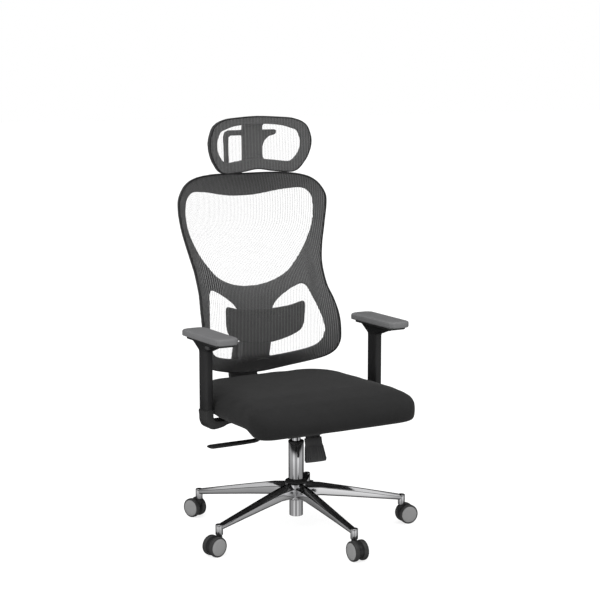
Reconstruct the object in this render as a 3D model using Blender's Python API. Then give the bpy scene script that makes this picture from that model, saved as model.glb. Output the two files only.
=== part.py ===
"""Swivel office chair: star base on casters, gas lift, tilt mechanism, seat, mesh back, headrest, arms.

Metres, +Z up. The sitter faces -Y. Every piece is drawn from the foot of the column's axis, and the finished
chair is moved so that the origin lies on the floor under the middle of its box.
"""

from math import cos, pi, radians, sin

import bmesh
import bpy
from mathutils import Matrix, Vector

GAP = 0.0004                      # between faces that touch
BOX_MIDDLE = Vector((0.0, 0.0065, 0.0))   # the middle of the chair's box, from the column's axis

# Base
BASE_RADIUS = 0.340               # column axis to caster stem
LEG_ANGLES = (53.8, 125.8, 197.8, 269.8, 341.8)
HUB_TOP = 0.154
HUB_BOTTOM = 0.102
HUB_RADIUS = 0.033
SOCKET_RADIUS = 0.0112
SOCKET_BOTTOM = 0.0615
SOCKET_TOP = 0.092

# Casters
WHEEL_RADIUS = 0.0305
WHEEL_INNER = 0.0070              # from the middle of the caster to the wheel's inner face
WHEEL_OUTER = 0.0228
WHEEL_SIDES = 20
CASTER_TRAIL = 0.018
STEM_RADIUS = 0.0055
# The way each wheel axle points, and which side of the stem it trails on, in the order of LEG_ANGLES.
CASTER_TURNS = (330.0, 201.6, 281.6, 180.6, 262.6)
CASTER_SIDES = (-1, 1, 1, -1, -1)

# Column
TUBE_TOP = 0.2795
TUBE_BOTTOM = 0.048
CYLINDER_RADIUS = 0.014
CYLINDER_TOP = 0.324

# Tilt mechanism
TILT_AXIS = Vector((0.0, -0.050, 0.345))
HOUSING_HALF = 0.058
HOUSING_WALL = 0.004
KNOB_BASE = Vector((0.0, -0.119, 0.244))
KNOB_LEAN = radians(14)           # the bolt leans back towards its top
LEVER_AXIS = Vector((-0.0560, 0.0, 0.338))

# Seat
PAN_BOTTOM = 0.379
PAN_TOP = 0.3895
CUSHION_TOP = 0.466
CUSHION_LIP = 0.361

# Arms
ARM_X = 0.300
ARM_Y = 0.020
ARM_WIDE = 0.025
ARM_DEEP = 0.050
SLEEVE_BOTTOM = 0.4135
SLEEVE_TOP = 0.596
PAD_BOTTOM = 0.6295
PAD_TOP = 0.650

# Back and headrest: heights are measured from a datum on each one's own surface.
BACK_DATUM = 0.842
BACK_THICK = 0.014
MESH_THICK = 0.0015
MESH_FRONT = 0.194                # y of the stretched mesh at the middle of the lumbar pad
LUMBAR_FRONT = 0.1975             # y of the lumbar pad's face, close behind it
SLIDER_REAR = 0.2484              # y of the lumbar clip's rear, just ahead of the frame's column
STRETCH = 0.62                    # how fast both bend forward towards their sides
HEAD_DATUM = 1.182
HEAD_THICK = 0.018
HEAD_COLUMNS = tuple(i * .0235 for i in range(-8, 9))
HEAD_ROWS = (-.09, -.06, -.03, 0, .03, .06, .10)
HEAD_HINGE = Vector((0.0, 0.303, 1.122))

# Half outlines as (x, height above the datum), from the middle of the top round to the middle of the bottom.
BACK_OUTLINE = (
    (0, .250), (.111, .251), (.189, .243), (.234, .223), (.262, .185), (.266, .145), (.256, .080),
    (.241, .015), (.230, -.045), (.230, -.108), (.239, -.153), (.245, -.203), (.245, -.254),
    (.242, -.289), (.229, -.321), (.199, -.345), (.132, -.369), (.056, -.388), (0, -.392),
)
UPPER_OPENING = (
    (0, .176), (.040, .177), (.084, .183), (.126, .191), (.167, .196), (.192, .197), (.212, .190),
    (.228, .167), (.231, .123), (.224, .080), (.207, .038), (.186, 0), (.161, -.034), (.126, -.071),
    (.078, -.096), (.031, -.107), (0, -.108),
)
LOWER_WINDOW = (
    (.062, -.183), (.081, -.157), (.119, -.129), (.153, -.111), (.167, -.109), (.177, -.118),
    (.187, -.150), (.199, -.192), (.207, -.234), (.206, -.264), (.191, -.295), (.160, -.314),
    (.105, -.330), (.053, -.339), (.053, -.290), (.053, -.215),
)
LUMBAR_THICK = 0.0085
LUMBAR_OUTLINE = (
    (0, -.173), (.085, -.167), (.124, -.157), (.137, -.155), (.1425, -.164), (.1425, -.185), (.139, -.225),
    (.127, -.248), (.092, -.266), (.042, -.279), (0, -.282),
)
HEAD_OUTLINE = (
    (0, .094), (.090, .089), (.121, .085), (.148, .076), (.167, .061), (.177, .039), (.182, .017),
    (.180, -.008), (.170, -.037), (.155, -.060), (.144, -.073), (.133, -.080), (.113, -.084),
    (.054, -.080), (0, -.073),
)
HEAD_OPENING = (
    (0, .069), (.051, .067), (.091, .062), (.118, .054), (.136, .047), (.145, .032), (.150, .014),
    (.148, -.011), (.139, -.029), (.126, -.044), (.113, -.050), (.085, -.048), (.053, -.044), (0, -.040),
)
# The back's middle line, seen from the side: (height above the datum, y).
BACK_SPINE = (
    (-.400, .285), (-.350, .266), (-.300, .252), (-.250, .249), (-.200, .255), (-.150, .269), (-.100, .287),
    (-.050, .306), (0, .325), (.050, .339), (.100, .347), (.150, .347), (.200, .341), (.260, .328),
)
BACK_ROWS = tuple(i * .040 for i in range(-2, 7)) + (
    -.104, -.124, -.150, -.180, -.210, -.250, -.290, -.320, -.338, -.354, -.400, .262,
)
BACK_COLUMNS = tuple(i * .0386 for i in range(-7, 8)) + (-.053, .053)


# --- Building blocks -------------------------------------------------------------------------------------------

def clear_scene():
    for obj in list(bpy.data.objects):
        bpy.data.objects.remove(obj, do_unlink=True)


def finish_of(name, colour, roughness, metallic):
    material = bpy.data.materials.new(name)
    material.use_nodes = True
    shader = material.node_tree.nodes["Principled BSDF"]
    shader.inputs["Base Color"].default_value = (*colour, 1)
    shader.inputs["Roughness"].default_value = roughness
    shader.inputs["Metallic"].default_value = metallic
    return material


def solid(bm, name="shape"):
    """The bmesh as an object of its own, closed and facing outwards."""
    bmesh.ops.remove_doubles(bm, verts=bm.verts, dist=1e-6)
    bmesh.ops.recalc_face_normals(bm, faces=bm.faces)
    mesh = bpy.data.meshes.new(name)
    bm.to_mesh(mesh)
    bm.free()
    obj = bpy.data.objects.new(name, mesh)
    bpy.context.collection.objects.link(obj)
    return obj


def block(low, high):
    bm = bmesh.new()
    bmesh.ops.create_cube(bm, size=1)
    low, high = Vector(low), Vector(high)
    bmesh.ops.scale(bm, vec=high - low, verts=bm.verts)
    bmesh.ops.translate(bm, vec=(low + high) / 2, verts=bm.verts)
    return solid(bm)


def prism(outline, axis, low, high):
    """A flat outline pushed along an axis. Its points are in the other two axes' order."""
    place = {
        "X": lambda a, b: (low, a, b),
        "Y": lambda a, b: (a, low, b),
        "Z": lambda a, b: (a, b, low),
    }[axis]
    bm = bmesh.new()
    face = bm.faces.new([bm.verts.new(place(a, b)) for a, b in outline])
    pushed = bmesh.ops.extrude_face_region(bm, geom=[face])
    tips = [item for item in pushed["geom"] if isinstance(item, bmesh.types.BMVert)]
    step = Vector((0, 0, 0))
    step["XYZ".index(axis)] = high - low
    bmesh.ops.translate(bm, vec=step, verts=tips)
    return solid(bm)


def turned(profile, segments=32):
    """A closed profile of (radius, height) points, spun once round Z."""
    bm = bmesh.new()
    points = [bm.verts.new((r, 0, z)) for r, z in profile]
    edges = []
    for first, second in zip(points, points[1:] + points[:1]):
        if first.co.x > 0 or second.co.x > 0:
            edges.append(bm.edges.new((first, second)))
    bmesh.ops.spin(
        bm, geom=points + edges, cent=(0, 0, 0), axis=(0, 0, 1), angle=2 * pi, steps=segments, use_merge=True,
    )
    return solid(bm)


def rod(start, end, radius, segments=24):
    start, end = Vector(start), Vector(end)
    bm = bmesh.new()
    bmesh.ops.create_cone(
        bm, cap_ends=True, segments=segments, radius1=radius, radius2=radius, depth=(end - start).length,
    )
    turn = Vector((0, 0, 1)).rotation_difference(end - start).to_matrix().to_4x4()
    bmesh.ops.transform(bm, matrix=Matrix.Translation((start + end) / 2) @ turn, verts=bm.verts)
    return solid(bm)


def loft(rings):
    """A solid through rings of points, each with the same count."""
    bm = bmesh.new()
    loops = [[bm.verts.new(point) for point in ring] for ring in rings]
    count = len(loops[0])
    for first, second in zip(loops, loops[1:]):
        for i in range(count):
            j = (i + 1) % count
            bm.faces.new((first[i], first[j], second[j], second[i]))
    bm.faces.new(loops[0])
    bm.faces.new(loops[-1])
    return solid(bm)


def combine(body, operation, *tools):
    """The body after a Boolean with each tool. The tools are used up."""
    for tool in tools:
        step = body.modifiers.new("boolean", "BOOLEAN")
        step.operation = operation
        step.solver = "EXACT"
        step.object = tool
    bpy.context.view_layer.update()
    graph = bpy.context.evaluated_depsgraph_get()
    mesh = bpy.data.meshes.new_from_object(body.evaluated_get(graph))
    body.modifiers.clear()
    body.data = mesh
    for tool in tools:
        bpy.data.objects.remove(tool, do_unlink=True)
    return body


def softened(obj, width, segments=2, angle=50):
    """Rounds the edges sharper than the angle."""
    bevel = obj.modifiers.new("bevel", "BEVEL")
    bevel.width = width
    bevel.segments = segments
    bevel.limit_method = "ANGLE"
    bevel.angle_limit = radians(angle)
    bpy.context.view_layer.update()
    graph = bpy.context.evaluated_depsgraph_get()
    mesh = bpy.data.meshes.new_from_object(obj.evaluated_get(graph))
    obj.modifiers.clear()
    obj.data = mesh
    return obj


def pivot(name, location, turn=0.0, parent=None):
    """An empty on a joint's axis."""
    empty = bpy.data.objects.new(name, None)
    empty.empty_display_size = 0.02
    bpy.context.collection.objects.link(empty)
    empty.parent = parent
    empty.location = location
    empty.rotation_euler.z = turn
    bpy.context.view_layer.update()
    return empty


def add(name, obj, finish, on=None):
    """Names a finished piece, which is modelled in place, and hangs it on its joint's empty."""
    obj.name = name
    obj.data.name = name
    obj.data.materials.clear()
    obj.data.materials.append(finish)
    obj.data.shade_smooth()
    obj.data.set_sharp_from_angle(angle=radians(35))
    if on is not None:
        obj.data.transform(on.matrix_world.inverted())
        obj.parent = on
    return obj


def mirrored(points):
    """A half outline closed by its mirror image over the middle."""
    points = list(points)
    back = [(-x, z) for x, z in reversed(points) if x > 0]
    return points + back


def rounded(points, steps=2):
    """A closed outline with curves through its points."""
    count = len(points)
    found = []
    for i in range(count):
        p0, p1, p2, p3 = (Vector(points[(i + k) % count]) for k in (-1, 0, 1, 2))
        for k in range(steps):
            t = k / steps
            found.append(
                0.5 * (2 * p1 + (p2 - p0) * t + (2 * p0 - 5 * p1 + 4 * p2 - p3) * t**2
                       + (3 * p1 - p0 - 3 * p2 + p3) * t**3)
            )
    return [tuple(point) for point in found]


def smooth(t):
    t = min(max(t, 0), 1)
    return t * t * (3 - 2 * t)


def spine_y(height):
    """The back's middle line between its points."""
    for i in range(len(BACK_SPINE) - 1):
        (z1, y1), (z2, y2) = BACK_SPINE[i:i + 2]
        if height <= z2 or i == len(BACK_SPINE) - 2:
            break
    y0 = BACK_SPINE[max(i - 1, 0)][1]
    y3 = BACK_SPINE[min(i + 2, len(BACK_SPINE) - 1)][1]
    t = (height - z1) / (z2 - z1)
    return 0.5 * (2 * y1 + (y2 - y0) * t + (2 * y0 - 5 * y1 + 4 * y2 - y3) * t**2
                  + (3 * y1 - y0 - 3 * y2 + y3) * t**3)


def back_y(x, height):
    """The front of the back's mesh: a shallow trough, deeper towards the seat."""
    return spine_y(height) - x * x * (1.51 - 1.8 * height)


def skin_y(x, height):
    """The back's mesh. Low down it leaves the frame's trough and stretches from side rim to side rim."""
    stretched = MESH_FRONT - STRETCH * x * x
    share = smooth((.100 - height) / .230) * smooth((height + .392) / .082)
    return back_y(x, height) - share * max(0, back_y(x, height) - stretched)


def lumbar_y(x, height):
    return LUMBAR_FRONT - STRETCH * x * x


def head_y(x, height):
    return 0.234 - 0.042 * height - 0.635 * x * x


def sheet(surface, front, rear, columns, rows, datum):
    """A closed slab that follows a surface, between two depths behind it."""
    columns, rows = sorted(columns), sorted(rows)
    bm = bmesh.new()
    grids = [
        [[bm.verts.new((x, surface(x, z) + depth(x, z), z + datum)) for x in columns] for z in rows]
        for depth in (front, rear)
    ]
    wide, high = len(columns), len(rows)
    for grid in grids:
        for j in range(high - 1):
            for i in range(wide - 1):
                bm.faces.new((grid[j][i], grid[j][i + 1], grid[j + 1][i + 1]))
                bm.faces.new((grid[j][i], grid[j + 1][i + 1], grid[j + 1][i]))
    rim = [(0, i) for i in range(wide)] + [(j, wide - 1) for j in range(1, high)]
    rim += [(high - 1, i) for i in range(wide - 2, -1, -1)] + [(j, 0) for j in range(high - 2, 0, -1)]
    for (j, i), (m, k) in zip(rim, rim[1:] + rim[:1]):
        bm.faces.new((grids[0][j][i], grids[0][m][k], grids[1][m][k], grids[1][j][i]))
    return solid(bm)


def through(outline, datum, steps=1):
    """A cutter with an outline's shape, right through from front to rear."""
    return prism([(x, z + datum) for x, z in rounded(outline, steps)], "Y", -0.2, 0.6)


# --- Base and casters ------------------------------------------------------------------------------------------

def leg(angle):
    """A tapering arm with a ridge along its top, from inside the hub to its caster socket."""
    stations = ((.022, .0190, .106, .1535), (.075, .0165, .109, .1475), (BASE_RADIUS, .0100, .0755, .0935))
    rings = []
    for reach, half, low, high in stations:
        shoulder = low + (high - low) * .62
        section = ((half * .8, low), (half, low + .004), (half * .86, shoulder), (half * .25, high),
                   (-half * .25, high), (-half * .86, shoulder), (-half, low + .004), (-half * .8, low))
        rings.append([Matrix.Rotation(angle, 3, "Z") @ Vector((reach, side, z)) for side, z in section])
    return loft(rings)


def star_base():
    base = turned([(.0214, HUB_BOTTOM), (HUB_RADIUS - .003, HUB_BOTTOM), (HUB_RADIUS, HUB_BOTTOM + .004),
                   (HUB_RADIUS, HUB_TOP - .003), (HUB_RADIUS - .003, HUB_TOP), (.0214, HUB_TOP)], 32)
    arms, sockets, bores = [], [], []
    for degrees in LEG_ANGLES:
        angle = radians(degrees)
        stem = Vector((BASE_RADIUS * cos(angle), BASE_RADIUS * sin(angle), 0))
        low, high = Vector((0, 0, SOCKET_BOTTOM)), Vector((0, 0, SOCKET_TOP))
        arms.append(leg(angle))
        sockets.append(rod(stem + low, stem + high, SOCKET_RADIUS, 16))
        bores.append(rod(stem + Vector((0, 0, .05)), stem + Vector((0, 0, .0885)), STEM_RADIUS + .0005, 12))
    combine(base, "UNION", *arms)
    combine(base, "UNION", *sockets)
    bore = rod((0, 0, 0), (0, 0, .3), .0214, 32)
    return combine(base, "DIFFERENCE", bore, *bores)


def caster_stem():
    """The pin that stands in the leg's socket, with its grip ring."""
    r = STEM_RADIUS
    return turned([(0, .0480), (r, .0480), (r, .0800), (r + .0003, .0810), (r + .0003, .0830), (r, .0840),
                   (r, .0860), (r - .0015, .0875), (0, .0875)], 12)


def caster_hood():
    """The web between the wheels, with the boss that turns on the stem. The axle is at y = -trail."""
    web = prism([(-.0440, .024), (-.0435, .040), (-.036, .050), (-.022, .0575), (.0075, .0575), (.0075, .042),
                 (-.004, .034), (-.008, .022), (-.020, .016), (-.034, .015)], "X", -.0064, .0064)
    boss = rod((0, 0, .0556), (0, 0, .0610), .0088, 20)
    combine(web, "UNION", boss)
    bore = rod((0, 0, .0470), (0, 0, .07), STEM_RADIUS + .0004, 14)
    hole = rod((-.02, -CASTER_TRAIL, WHEEL_RADIUS), (.02, -CASTER_TRAIL, WHEEL_RADIUS), .0035, 12)
    return combine(web, "DIFFERENCE", bore, hole)


def caster_wheel():
    """One wheel on the caster's +X side, with a blind bore for the axle. A flat of its rim is on the floor."""
    rim = WHEEL_RADIUS / cos(pi / WHEEL_SIDES)
    wheel = turned([(.0035, WHEEL_INNER), (rim - .003, WHEEL_INNER), (rim, WHEEL_INNER + .003),
                    (rim, WHEEL_OUTER - .0025), (rim - .0022, WHEEL_OUTER), (0, WHEEL_OUTER), (0, .0190),
                    (.0035, .0190)], WHEEL_SIDES)
    lay = Matrix.Rotation(pi / 2, 4, "Y") @ Matrix.Rotation(pi / WHEEL_SIDES, 4, "Z")
    wheel.data.transform(Matrix.Translation((0, -CASTER_TRAIL, WHEEL_RADIUS)) @ lay)
    return wheel


def casters(rubber, plastic, steel):
    """Five twin-wheel casters. The copies of a piece share one mesh."""
    axle_left = Vector((.0185, -CASTER_TRAIL, WHEEL_RADIUS))
    axle_right = Vector((-.0185, -CASTER_TRAIL, WHEEL_RADIUS))
    shapes = {
        "stem": (caster_stem(), steel),
        "hood": (caster_hood(), plastic),
        "axle": (rod(axle_right, axle_left, .0030, 12), steel),
        "wheel": (caster_wheel(), rubber),
    }
    for kind, (shape, finish) in shapes.items():
        add("caster_" + kind, shape, finish)
    for number, (degrees, turn, side) in enumerate(zip(LEG_ANGLES, CASTER_TURNS, CASTER_SIDES), 1):
        angle = radians(degrees)
        swivel = pivot(f"swivel_{number}", (BASE_RADIUS * cos(angle), BASE_RADIUS * sin(angle), 0),
                       radians(turn + (0 if side > 0 else 180)))
        for kind in ("stem", "hood", "axle"):
            hang(f"caster_{kind}_{number}", shapes[kind][0].data, swivel)
        hang(f"caster_wheel_left_{number}", shapes["wheel"][0].data, swivel)
        other = pivot(f"far_side_{number}", (0, -2 * CASTER_TRAIL, 0), pi, swivel)
        hang(f"caster_wheel_right_{number}", shapes["wheel"][0].data, other)
    for shape, _ in shapes.values():
        bpy.data.objects.remove(shape, do_unlink=True)


def hang(name, mesh, on):
    obj = bpy.data.objects.new(name, mesh)
    bpy.context.collection.objects.link(obj)
    obj.parent = on
    return obj


# --- Column ----------------------------------------------------------------------------------------------------

def column_tube():
    return turned([(.0046, TUBE_BOTTOM), (.0210, TUBE_BOTTOM), (.0210, .1545), (.0238, .1600), (.0238, TUBE_TOP),
                   (.0216, TUBE_TOP), (.0216, .1620), (.0190, .1550), (.0190, .0515), (.0046, .0515)], 32)


def column_bush():
    return turned([(.0145, .190), (.0212, .190), (.0212, TUBE_TOP + GAP), (.0246, TUBE_TOP + GAP), (.0246, .286),
                   (.0145, .286)], 32)


def piston_rod():
    return turned([(0, .0488), (.0042, .0488), (.0042, .0520), (.0075, .0520), (.0075, .0560), (.0048, .0560),
                   (.0048, .222), (.0104, .222), (.0104, .232), (0, .232)], 16)


def gas_cylinder():
    r = CYLINDER_RADIUS
    return turned([(.0053, .075), (r, .075), (r, .318), (r - .001, CYLINDER_TOP), (.0036, CYLINDER_TOP),
                   (.0036, .300), (.0110, .300), (.0110, .088), (.0053, .088)], 24)


def release_pin():
    return turned([(0, .296), (.0030, .296), (.0030, .3312), (0, .3312)], 16)


# --- Tilt mechanism --------------------------------------------------------------------------------------------

def along_bolt(distance, across=0.0):
    """A point on the tension bolt's line, or ahead of it, in the (y, z) plane."""
    up = Vector((0, sin(KNOB_LEAN), cos(KNOB_LEAN)))
    ahead = Vector((0, -cos(KNOB_LEAN), sin(KNOB_LEAN)))
    return KNOB_BASE + up * distance + ahead * across


def leaning(obj):
    """Stands a piece made round Z on the bolt's line."""
    obj.data.transform(Matrix.Translation(KNOB_BASE) @ Matrix.Rotation(-KNOB_LEAN, 4, "X"))
    return obj


def tilt_housing():
    """An open steel tray that holds the tilt axle, the column's socket and the spring's seat."""
    nose_front, nose_rear = along_bolt(.088, .030), along_bolt(.088, -.030)
    outline = [(nose_front.y, nose_front.z), (nose_rear.y, nose_rear.z), (-.055, .308), (.085, .308),
               (.085, .330), (TILT_AXIS.y, .366), (-.090, .366), (nose_front.y, .354)]
    tray = prism(outline, "X", -HOUSING_HALF, HOUSING_HALF)
    wall = HOUSING_WALL
    inside = prism([(nose_front.y + wall, nose_front.z + wall), (nose_rear.y + .002, nose_rear.z + wall),
                    (-.054, .308 + wall), (.085 - wall, .308 + wall), (.085 - wall, .40),
                    (nose_front.y + wall, .40)], "X", -HOUSING_HALF + wall, HOUSING_HALF - wall)
    combine(tray, "DIFFERENCE", inside)
    combine(tray, "UNION", rod((0, 0, .303), (0, 0, .320), .0225, 24))
    axle = rod((-.1, TILT_AXIS.y, TILT_AXIS.z), (.1, TILT_AXIS.y, TILT_AXIS.z), .0064, 20)
    lever = rod((-.1, 0, LEVER_AXIS.z), (-.04, 0, LEVER_AXIS.z), .0115, 20)
    bolt = rod(along_bolt(.06), along_bolt(.12), .0058, 16)
    column = rod((0, 0, .29), (0, 0, .33), CYLINDER_RADIUS + GAP, 24)
    return combine(tray, "DIFFERENCE", axle, lever, bolt, column)


def tilt_plate():
    """The plate under the seat pan, with two cheeks down to the tilt axle."""
    plate = block((-.085, -.125, .3725), (.085, .165, PAN_BOTTOM - GAP))
    cheeks = [
        prism([(-.074, .3745), (-.066, .338), (-.056, .333), (-.044, .333), (-.034, .338), (-.026, .3745)],
              "X", low, low + .004)
        for low in (-.0645, .0605)
    ]
    combine(plate, "UNION", *cheeks)
    bore = rod((-.1, TILT_AXIS.y, TILT_AXIS.z), (.1, TILT_AXIS.y, TILT_AXIS.z), .0064, 20)
    return combine(plate, "DIFFERENCE", bore)


def tilt_axle():
    return rod((-.070, TILT_AXIS.y, TILT_AXIS.z), (.070, TILT_AXIS.y, TILT_AXIS.z), .0060, 20)


def tension_bolt():
    """The bolt through the spring, with the cross head that the tilt plate's front pulls on."""
    shank = leaning(rod((0, 0, .0085), (0, 0, .112), .0050, 16))
    head = along_bolt(.112)
    return combine(shank, "UNION", rod(head - Vector((.016, 0, 0)), head + Vector((.016, 0, 0)), .0065, 16))


def tension_knob():
    """A cup with grip ribs, which hides the spring. Its smooth collar moves up outside the housing's nose."""
    cup = turned([(0, 0), (.0320, 0), (.0340, .003), (.0275, .050), (.0265, .054), (.0265, .074), (.0235, .074),
                  (.0235, .008), (.0055, .008), (.0055, .004), (0, .004)], 24)
    ribs = []
    for i in range(10):
        turn = Matrix.Rotation(2 * pi * i / 10, 4, "Z")
        rib = prism([(.030, .004), (.0352, .005), (.0290, .047), (.0260, .048)], "Y", -.0022, .0022)
        rib.data.transform(turn)
        ribs.append(rib)
    return leaning(combine(cup, "UNION", *ribs))


def tilt_spring():
    """A coil between the knob's floor and the housing's nose."""
    turns, steps, low, high, coil, wire = 5, 10, .0105, .0858, .0150, .0019
    rings = []
    for k in range(turns * steps + 1):
        around = 2 * pi * k / steps
        height = low + (high - low) * k / (turns * steps)
        out = Vector((cos(around), sin(around), 0))
        centre = out * coil + Vector((0, 0, height))
        rings.append([
            centre + out * wire * cos(2 * pi * m / 5) + Vector((0, 0, wire * sin(2 * pi * m / 5))) for m in range(5)
        ])
    return leaning(loft(rings))


def lever_cam():
    """The rocker that holds the lever. Its inner arm lies on the gas lift's pin."""
    x, _, z = LEVER_AXIS
    tube = rod((x - .034, 0, z), (x + .010, 0, z), .0090, 20)
    arm = block((x + .006, -.006, .3316), (.006, .006, .3386))
    combine(tube, "UNION", arm)
    return combine(tube, "DIFFERENCE", rod((x - .05, 0, z), (x + .004, 0, z), .0057, 16))


def height_lever():
    """A flat paddle on a cranked shank. It lifts to free the gas lift and pulls out to free the tilt."""
    z = LEVER_AXIS.z
    shank = rod((-.096, 0, z), (-.056, 0, z), .0052, 16)
    stations = ((-.092, z, .0045, .0045), (-.100, z - .002, .005, .0045), (-.128, .306, .008, .0055),
                (-.150, .3025, .010, .0055), (-.230, .3020, .0135, .0050), (-.296, .3020, .0150, .0045),
                (-.304, .3025, .0120, .0030))
    crank = loft([
        [(x, y, height + lift) for y, lift in ((-w, -t), (w, -t), (w, t), (-w, t))]
        for x, height, w, t in stations
    ])
    return combine(shank, "UNION", crank)


# --- Seat ------------------------------------------------------------------------------------------------------

def seat_pan():
    outline = mirrored([(0, -.178), (.160, -.176), (.212, -.150), (.235, -.050), (.230, .060), (.192, .165),
                        (.130, .212), (0, .220)])
    return prism(rounded(outline), "Z", PAN_BOTTOM, PAN_TOP)


def seat_cushion():
    """A foam block with rounded shoulders and a front lip that hangs past the pan."""
    plan = mirrored([(0, -.278), (.180, -.275), (.250, -.262), (.281, -.225), (.288, -.150), (.284, -.030),
                     (.268, .080), (.240, .165), (.195, .226), (.130, .250), (0, .256)])
    side = [(-.279, .385), (-.268, CUSHION_LIP + .003), (-.245, CUSHION_LIP), (-.215, .366),
            (-.188, PAN_TOP + GAP), (.262, PAN_TOP + GAP), (.262, .440), (.235, .459), (0, CUSHION_TOP),
            (-.120, .463), (-.200, .449), (-.250, .426), (-.275, .402)]
    front = mirrored([(0, CUSHION_TOP), (.200, .4645), (.250, .456), (.278, .438), (.289, .412), (.286, .392),
                      (.268, CUSHION_LIP - .002), (0, CUSHION_LIP - .002)])
    cushion = prism(rounded(plan), "Z", .35, .48)
    return combine(cushion, "INTERSECT", prism(side, "X", -.3, .3), prism(front, "Y", -.3, .3))


# --- Arms ------------------------------------------------------------------------------------------------------

def box_at_arm(half_x, half_y, low, high):
    return block((ARM_X - half_x, ARM_Y - half_y, low), (ARM_X + half_x, ARM_Y + half_y, high))


def arm_bracket():
    """The bent arm bolted under the pan, and the upright that the sleeve slides on."""
    inner, outer = ARM_X - ARM_WIDE / 2, ARM_X + ARM_WIDE / 2
    bend = prism([(.105, .3665), (.235, .3665), (.255, .358), (.285, .354), (.303, .361), (outer, .378),
                  (outer, SLEEVE_BOTTOM - GAP), (inner, SLEEVE_BOTTOM - GAP), (inner, .392), (.280, .3782),
                  (.105, .3782)], "Y", ARM_Y - ARM_DEEP / 2, ARM_Y + ARM_DEEP / 2)
    softened(bend, .004, 2, 60)
    return combine(bend, "UNION", box_at_arm(.0078, .0180, .400, .575))


def arm_sleeve():
    """The sleeve, which flares at its top to carry the pad. It holds the release button's pocket."""
    tube = softened(box_at_arm(ARM_WIDE / 2, ARM_DEEP / 2, SLEEVE_BOTTOM, SLEEVE_TOP), .007, 3, 60)
    stations = ((.585, .0115, -.004, .044), (.600, .0150, -.030, .052), (.611, .0190, -.052, .064),
                (.6215, .0220, -.060, .070))
    flare = loft([
        [(ARM_X + x, y, z) for x, y in ((-w, low), (w, low), (w, high), (-w, high))]
        for z, w, low, high in stations
    ])
    combine(tube, "UNION", flare)
    cavity = box_at_arm(.0083, .0185, SLEEVE_BOTTOM - .01, .582)
    pocket = block((ARM_X + .009, -.0410, .6050), (ARM_X + .04, -.0170, .6180))
    return combine(tube, "DIFFERENCE", cavity, pocket)


def arm_button():
    return softened(block((ARM_X + .0130, -.0405, .6055), (ARM_X + .0225, -.0175, .6175)), .0012, 2, 60)


def arm_pad_plate():
    return softened(block((ARM_X - .031, -.114, .6220), (ARM_X + .031, .094, .6290)), .003, 1, 60)


def arm_pad():
    """A long soft pad, a little narrower towards its front."""
    outline = [(-.037, -.108), (-.031, -.125), (-.022, -.130), (.022, -.130), (.031, -.125), (.037, -.108),
               (.0395, .090), (.034, .105), (.024, .110), (-.024, .110), (-.034, .105), (-.0395, .090)]
    pad = prism([(ARM_X + x, y) for x, y in outline], "Z", PAD_BOTTOM, PAD_TOP)
    return softened(pad, .004, 2, 60)


def both_arms(finishes):
    shapes = {"arm_bracket": arm_bracket, "arm_sleeve": arm_sleeve, "arm_button": arm_button,
              "arm_pad_plate": arm_pad_plate, "arm_pad": arm_pad}
    for side, name in ((1, "left"), (-1, "right")):
        slide = pivot(f"arm_slide_{name}", (side * ARM_X, ARM_Y, SLEEVE_BOTTOM))
        for kind, make in shapes.items():
            shape = make()
            if side < 0:
                shape.data.transform(Matrix.Scale(-1, 4, (1, 0, 0)))
                shape.data.flip_normals()
            add(f"{kind}_{name}", shape, finishes[kind], slide)


# --- Back ------------------------------------------------------------------------------------------------------

def column_share(x, height):
    """1 on the column between the lower windows, where the frame is deeper, and 0 elsewhere."""
    across = 1 - smooth((abs(x) - .040) / .013)
    return across * smooth((-.150 - height) / .030) * smooth((height + .353) / .014)


def back_frame():
    """One moulding: the rim round the openings, the deep column between the windows, the headrest's guide."""
    frame = sheet(back_y, lambda x, z: MESH_THICK + GAP, lambda x, z: BACK_THICK + .036 * column_share(x, z),
                  BACK_COLUMNS, BACK_ROWS, BACK_DATUM)
    combine(frame, "INTERSECT", through(mirrored(BACK_OUTLINE), BACK_DATUM))
    other_window = [(-x, z) for x, z in reversed(LOWER_WINDOW)]
    combine(frame, "DIFFERENCE", through(mirrored(UPPER_OPENING), BACK_DATUM), through(LOWER_WINDOW, BACK_DATUM),
            through(other_window, BACK_DATUM))
    combine(frame, "UNION", block((-.038, .346, 1.026), (.038, .402, 1.078)))
    return combine(frame, "DIFFERENCE", block((-.0186, .3760, 1.0), (.0186, .3900, 1.1)))


def back_mesh():
    """The woven skin stretched over the frame's front, as a thin closed sheet."""
    skin = sheet(skin_y, lambda x, z: 0, lambda x, z: MESH_THICK, BACK_COLUMNS, BACK_ROWS, BACK_DATUM)
    return combine(skin, "INTERSECT", through(mirrored(BACK_OUTLINE), BACK_DATUM))


def lumbar_pad():
    columns = [i * .0235 for i in range(-7, 8)]
    rows = (-.290, -.150)
    pad = sheet(lumbar_y, lambda x, z: 0, lambda x, z: LUMBAR_THICK, columns, rows, BACK_DATUM)
    return combine(pad, "INTERSECT", through(mirrored(LUMBAR_OUTLINE), BACK_DATUM))


def lumbar_slider():
    """The clip that holds the pad to the column and slides on it."""
    return block((-.024, LUMBAR_FRONT + LUMBAR_THICK + GAP, BACK_DATUM - .242), (.024, SLIDER_REAR, BACK_DATUM - .222))


def back_bracket():
    """The bent bar from under the seat to the back frame's column."""
    outline = [(.098, .3605), (.272, .3605), (.310, .370), (.338, .396), (.352, .430), (.352, .452),
               (.332, .500), (.3195, .545), (.3065, .542), (.3190, .498), (.3380, .452), (.3380, .440),
               (.325, .410), (.302, .386), (.266, .3720), (.098, .3720)]
    return prism(outline, "X", -.050, .050)


# --- Headrest --------------------------------------------------------------------------------------------------

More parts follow.
